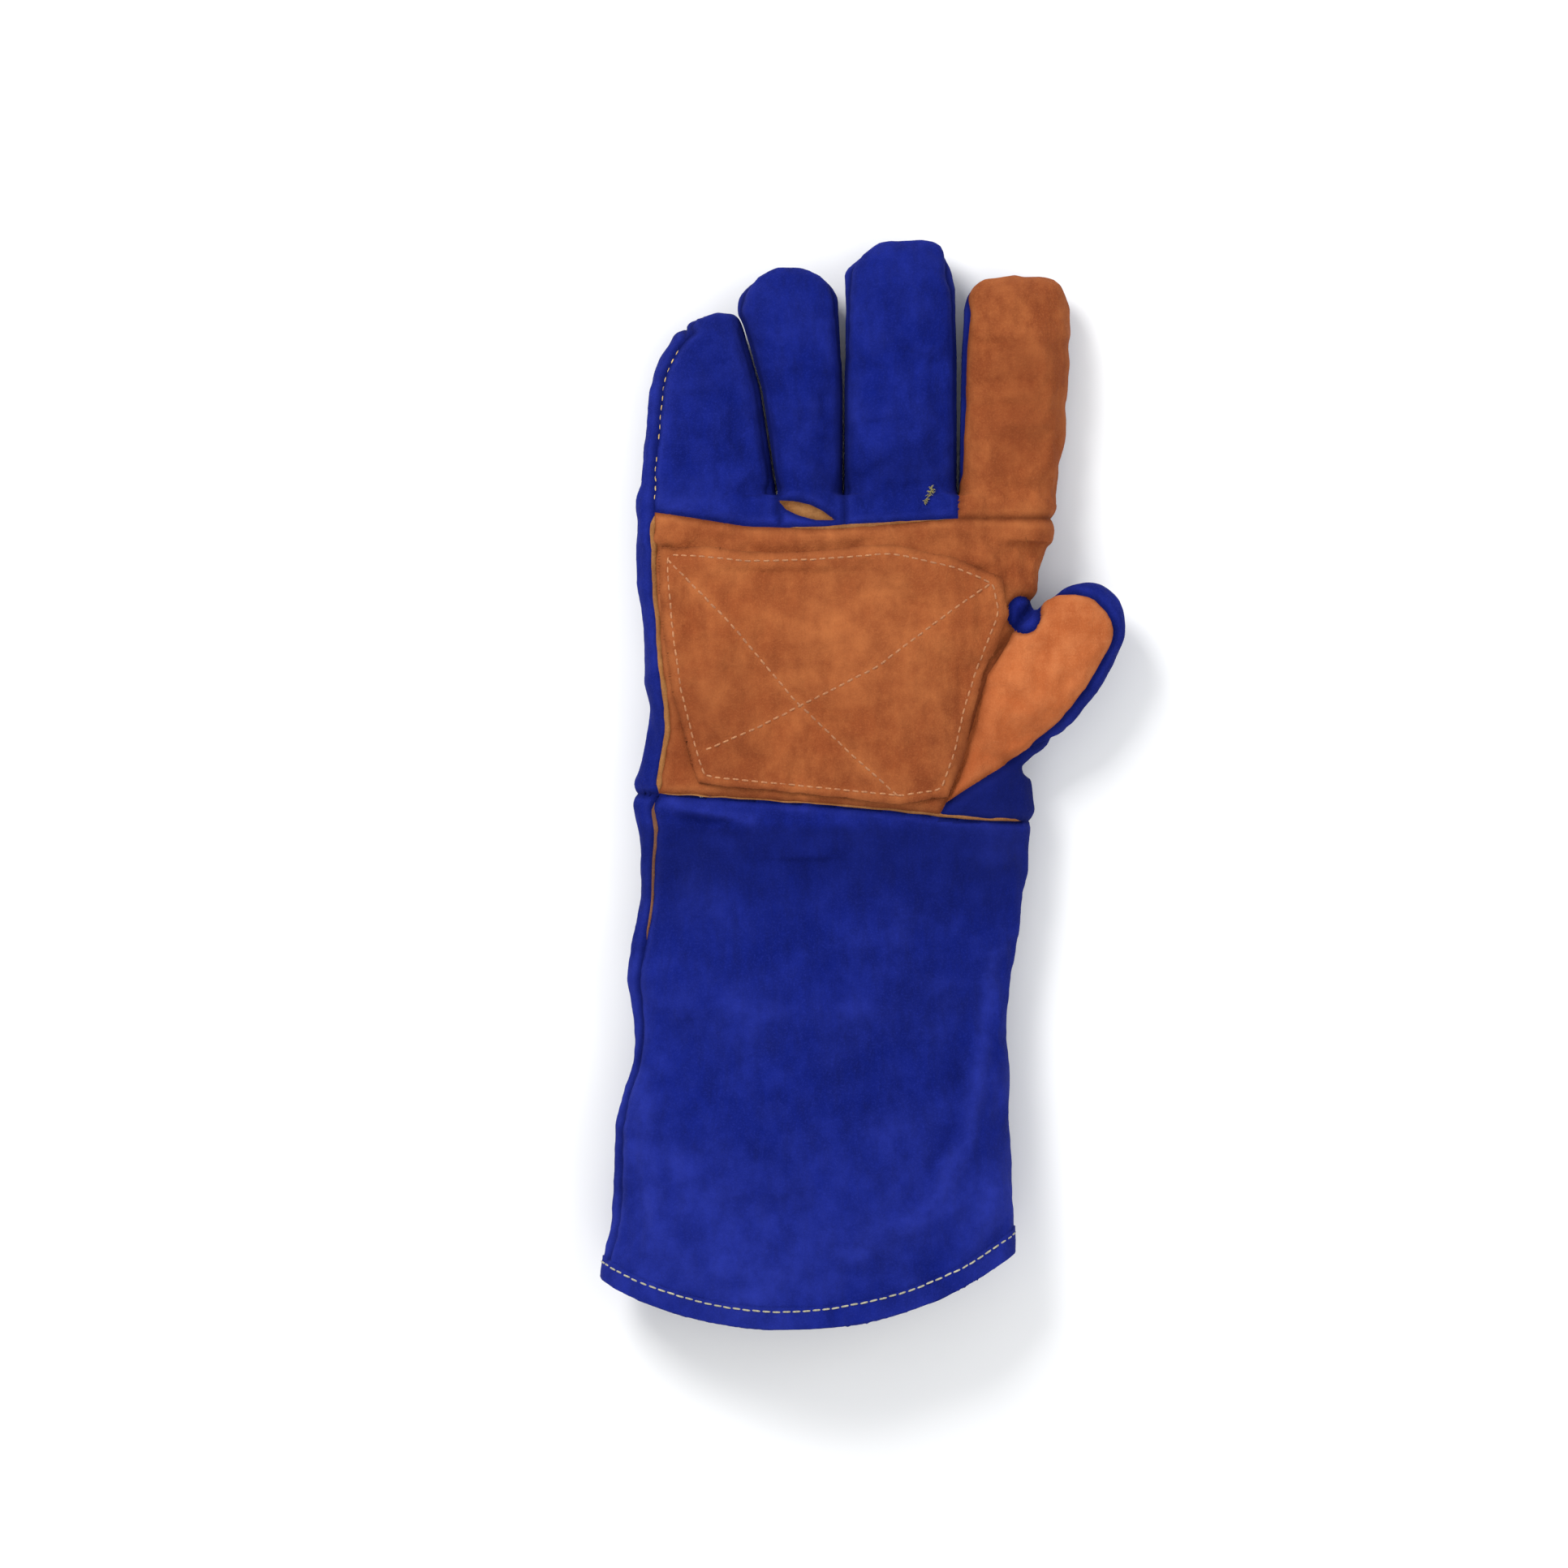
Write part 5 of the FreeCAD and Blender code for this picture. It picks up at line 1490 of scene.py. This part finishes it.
# Thin line under the palm and heel at the wrist
path = seam_path({(PALM, CUFF_FRONT), (HEEL, CUFF_FRONT)},
                 lambda p: p[:, 2] > 20, step=1.8, axis=0)
ob = make_object("wrist_welt_leather", *strip(
    path, lambda t: 0.5 + 1.0 * ease((t - 0.45) / 0.3), height=1.3, base=-0.25, seed=3), WELT)
settle(ob, "wrist_welt", HAND_TO_CUFF)

# Thin fold along the finger-base seam below the ring and middle fingers
path = seam_path(
    {(PALM, finger_piece(f, FRONT, 0)) for f in (RING, MIDDLE)} | {(PALM, BASE_WELT)},
    lambda p: (p[:, 0] > -20) & (p[:, 0] < 42) & (p[:, 2] > 18), step=1.6, axis=0)
ob = make_object("finger_base_fold", *strip(
    path, lambda t: 1.6 * math.sin(math.pi * min(t * 1.15, 1)) + 0.3,
    height=1.3, base=-0.1, seed=4), WELT)
settle(ob, None, "hand")

# Stitches down the outer seam of the little finger, in two lengths
places, facing = seam_path(
    {(finger_piece(LITTLE, FRONT, a), finger_piece(LITTLE, BACK, b)) for a in (0, 1)
     for b in (0, 1)},
    lambda p: (p[:, 0] < -50) & (p[:, 1] > 60) & (p[:, 1] < 121), step=1.0)
below_split = places[:, 1] < FINGER_SHAPES["little"]["split"]
for level, chosen, seed, motion in (("lower", below_split, 12, base_blend("little")),
                                    ("upper", ~below_split, 13, joint_blend("little"))):
    ob = make_object("little_seam_stitches_" + level, *stitches(
        (places[chosen], facing[chosen]), pitch=3.6, length=2.5, radius=0.34, sink=0.2,
        seed=seed), YELLOW_THREAD)
    settle(ob, None, motion)


# ------------------------------------------------------------------ loose threads
def yarn(path, radius, around):
    """A twisted strand with tapered ends."""
    places = along(path, 0.5)
    count = len(places)
    verts = []
    for i in range(count):
        axis = places[min(i + 1, count - 1)] - places[max(i - 1, 0)]
        axis /= np.linalg.norm(axis)
        side = np.cross(axis, (0, 0, 1.0))
        side = side / max(np.linalg.norm(side), 1e-6)
        up = np.cross(side, axis)
        taper = min(1.0, (min(i, count - 1 - i) + 0.5) / 2.0)
        for j in range(around):
            angle = 2 * math.pi * j / around + i * 0.5
            size = radius * taper * (1 + 0.18 * math.cos(2 * (angle - i * 0.5)))
            verts.append(places[i] + (side * math.cos(angle) + up * math.sin(angle)) * size)
    return verts, capped_tube(count, around)


def tuft():
    """A tangle of short strands at the base of the middle finger."""
    strand_count, last = 54, 7
    start, run = np.array([31.861, 60.702]), np.array([2.869, 5.738])
    scatter = 0.453
    step_low, step_high = 0.1057, 0.18724
    down = np.array([1, -1])        # draws are taken with y downwards
    rng = np.random.RandomState(31)
    strands = []
    for _ in range(strand_count):
        t = rng.uniform(0, 1)
        place = start + run * t + rng.uniform(-scatter, scatter, 2) * down * (0.6 + t)
        heading = rng.uniform(0, 2 * math.pi)
        turn = rng.uniform(-1.5, 1.5)
        step = rng.uniform(step_low, step_high) * (0.75 + 0.5 * t)
        loop = rng.uniform(0.2, 1.1)
        path = []
        for i in range(last + 1):
            x, y = place
            ground = drop(SKIN_TREE, x, y)[0][2]
            arch = (0.45 + loop) * math.sin(math.pi * min(i / last, 0.75))
            path.append((x, y, ground - 0.15 + arch))
            angle = heading + turn * i / last
            place = place + step * np.array([math.cos(angle), math.sin(angle)]) * down
        strands.append(yarn(path, radius=0.19, around=6))
    return merge(*strands)


ob = make_object("loose_thread_tuft", *tuft(), FRAYED)
settle(ob, None, base_blend("middle"))

# ------------------------------------------------------------------ linings
LINING_EDGE = HEM - 0.4         # the lining starts this far inside the cuff's edge
lining, lining_tris = shell_mesh(LINING_VOXEL, apart=2.2)
for seam in (mouth_seam, lambda p: mouth_seam(p) - HEM + 0.4, wrist_seam, knuckle_seam,
             split_seam, crease_seam, heel_seam):
    lining, lining_tris = cut(lining, lining_tris, seam(lining), 0.3)
lining_tris = lining_tris[mouth_seam(lining[lining_tris].mean(1)) > LINING_EDGE]

# no lining in the crotches of the fingers and the thumb
centres = lining[lining_tris].mean(1)
crotch = np.hypot(centres[:, 0] - 71.5, centres[:, 1] - 22.5) < 7.0
for gap in gap_lines(centres[:, 1]):
    crotch |= ((np.abs(centres[:, 0] - gap) < 2.2)
               & (centres[:, 1] > 58.5) & (centres[:, 1] < 67.0))
lining_tris = lining_tris[~crotch]
centres = lining[lining_tris].mean(1)
lining_fingers, centre_fingers = finger_of(lining), finger_of(centres)
lining, centres = lining[:, :3].copy(), centres[:, :3].copy()

# a little unevenness, then inwards from the leather
uneven = 0.35 * noise_field(lining, 16, 21) + 0.25 * noise_field(lining, 6, 22)
lining = lining + point_normals(lining, lining_tris) * uneven[:, None]
in_cuff, in_finger = wrist_seam(lining) < 0, knuckle_seam(lining) > 3.0
rest_y = lining[:, 1].copy()
depth = np.where(in_finger, 3.3, np.where(in_cuff, 1.75, 2.4))
lining = (lining + carry_movement(cloth, lining, lining_fingers)
          - point_normals(lining, lining_tris) * depth[:, None])
lining_limits = finger_limits(lining_fingers, gap_lines(rest_y), 2.4)


def keep_in_fingers():
    lining[:, 0] = np.where(rest_y > 60.5, np.clip(lining[:, 0], *lining_limits), lining[:, 0])


def push_inside():
    """Moves each lining point in until it clears the leather's outer face."""
    finger_trees = [surface_tree((pieces >= FIRST_FINGER) & (pieces < HAND_BACK_SIDE)
                                 & ((pieces - FIRST_FINGER) // 6 == f)) for f in range(4)]
    clearance = np.where(in_finger, 2.3, 1.75)
    for i in range(len(lining)):
        own_finger = in_finger[i] and rest_y[i] > 64
        tree = finger_trees[lining_fingers[i]] if own_finger else SKIN_TREE
        for _ in range(3):
            place, normal, _, _ = tree.find_nearest(Vector(lining[i]))
            need = clearance[i] + (Vector(lining[i]) - place).dot(normal)
            if need <= 0:
                break
            lining[i] -= np.array(normal) * min(need, 3.0)


keep_in_fingers()
push_inside()
keep_in_fingers()
lining = np.where(in_cuff[:, None], relax(lining, lining_tris, 3, grow=-0.48), lining)
lining_skin = (lining, lining_tris, point_normals(lining, lining_tris))

cuff_part, finger_part = wrist_seam(centres) < 0, knuckle_seam(centres) > 0
thumb_part = (crease_seam(centres) > 0) & (heel_seam(centres) > 0) & ~cuff_part
hand_part = ~cuff_part & ~finger_part & ~thumb_part
upper_part = split_seam(centres) > 0
LININGS = [     # (node, triangles, material, thickness, motion)
    ("cuff_liner", cuff_part, CANVAS, 1.0, HAND_TO_CUFF),
    ("hand_liner", hand_part, FLEECE, 1.4, HAND_TO_CUFF),
    ("thumb_liner", thumb_part, FLEECE, 1.3, HAND_TO_THUMB),
]
for index, finger in enumerate(FINGERS):
    for upper, level in enumerate(("lower", "upper")):
        chosen = finger_part & (centre_fingers == index) & (upper_part == bool(upper))
        LININGS.append((f"{finger}_liner_{level}", chosen, FLEECE, 1.3,
                        joint_blend(finger) if upper else base_blend(finger)))
for node, chosen, material, thick, motion in LININGS:
    settle(sheet(node + "_cloth", lining_skin, chosen, material, thick=thick), node, motion)


# ------------------------------------------------------------------ camera, floor, lights
def add_camera():
    """Looks straight down on the glove."""
    data = bpy.data.cameras.new("camera")
    data.lens = 158
    data.sensor_width = 36
    data.clip_start = 0.01
    camera = bpy.data.objects.new("camera", data)
    bpy.context.scene.collection.objects.link(camera)
    camera.location = (-0.0208, -0.0441, 2.60)
    camera.rotation_euler = (0, 0, 0)
    bpy.context.scene.camera = camera


def add_floor():
    grid = bmesh.new()
    bmesh.ops.create_grid(grid, x_segments=1, y_segments=1, size=3.0)
    mesh = bpy.data.meshes.new("floor")
    grid.to_mesh(mesh)
    grid.free()
    floor = bpy.data.objects.new("floor", mesh)
    bpy.context.scene.collection.objects.link(floor)
    floor.location.z = -0.0004
    mesh.materials.append(Shader("pale_floor").finish(Base_Color=(0.86, 0.86, 0.86, 1),
                                                      Roughness=0.9))


def add_light(name, location, size, power):
    """A square area light aimed at the glove."""
    data = bpy.data.lights.new(name, "AREA")
    data.shape = "RECTANGLE"
    data.size = data.size_y = size
    data.energy = power
    light = bpy.data.objects.new(name, data)
    bpy.context.scene.collection.objects.link(light)
    light.location = location
    aim = Vector((0, -0.03, 0)) - Vector(location)
    light.rotation_euler = aim.to_track_quat("-Z", "Y").to_euler()


def add_world():
    world = bpy.data.worlds.new("world")
    bpy.context.scene.world = world
    world.use_nodes = True
    background = world.node_tree.nodes["Background"]
    background.inputs["Color"].default_value = (0.95, 0.97, 1.0, 1)
    background.inputs["Strength"].default_value = 0.75


add_camera()
add_floor()
add_light("key", location=(-0.8, 1.0, 1.2), size=0.7, power=24)
add_light("fill", location=(1.2, 0.1, 1.2), size=1.2, power=7)
add_light("low", location=(0.0, -1.4, 0.9), size=1.0, power=6)
add_world()
bpy.context.scene.view_settings.view_transform = "Standard"
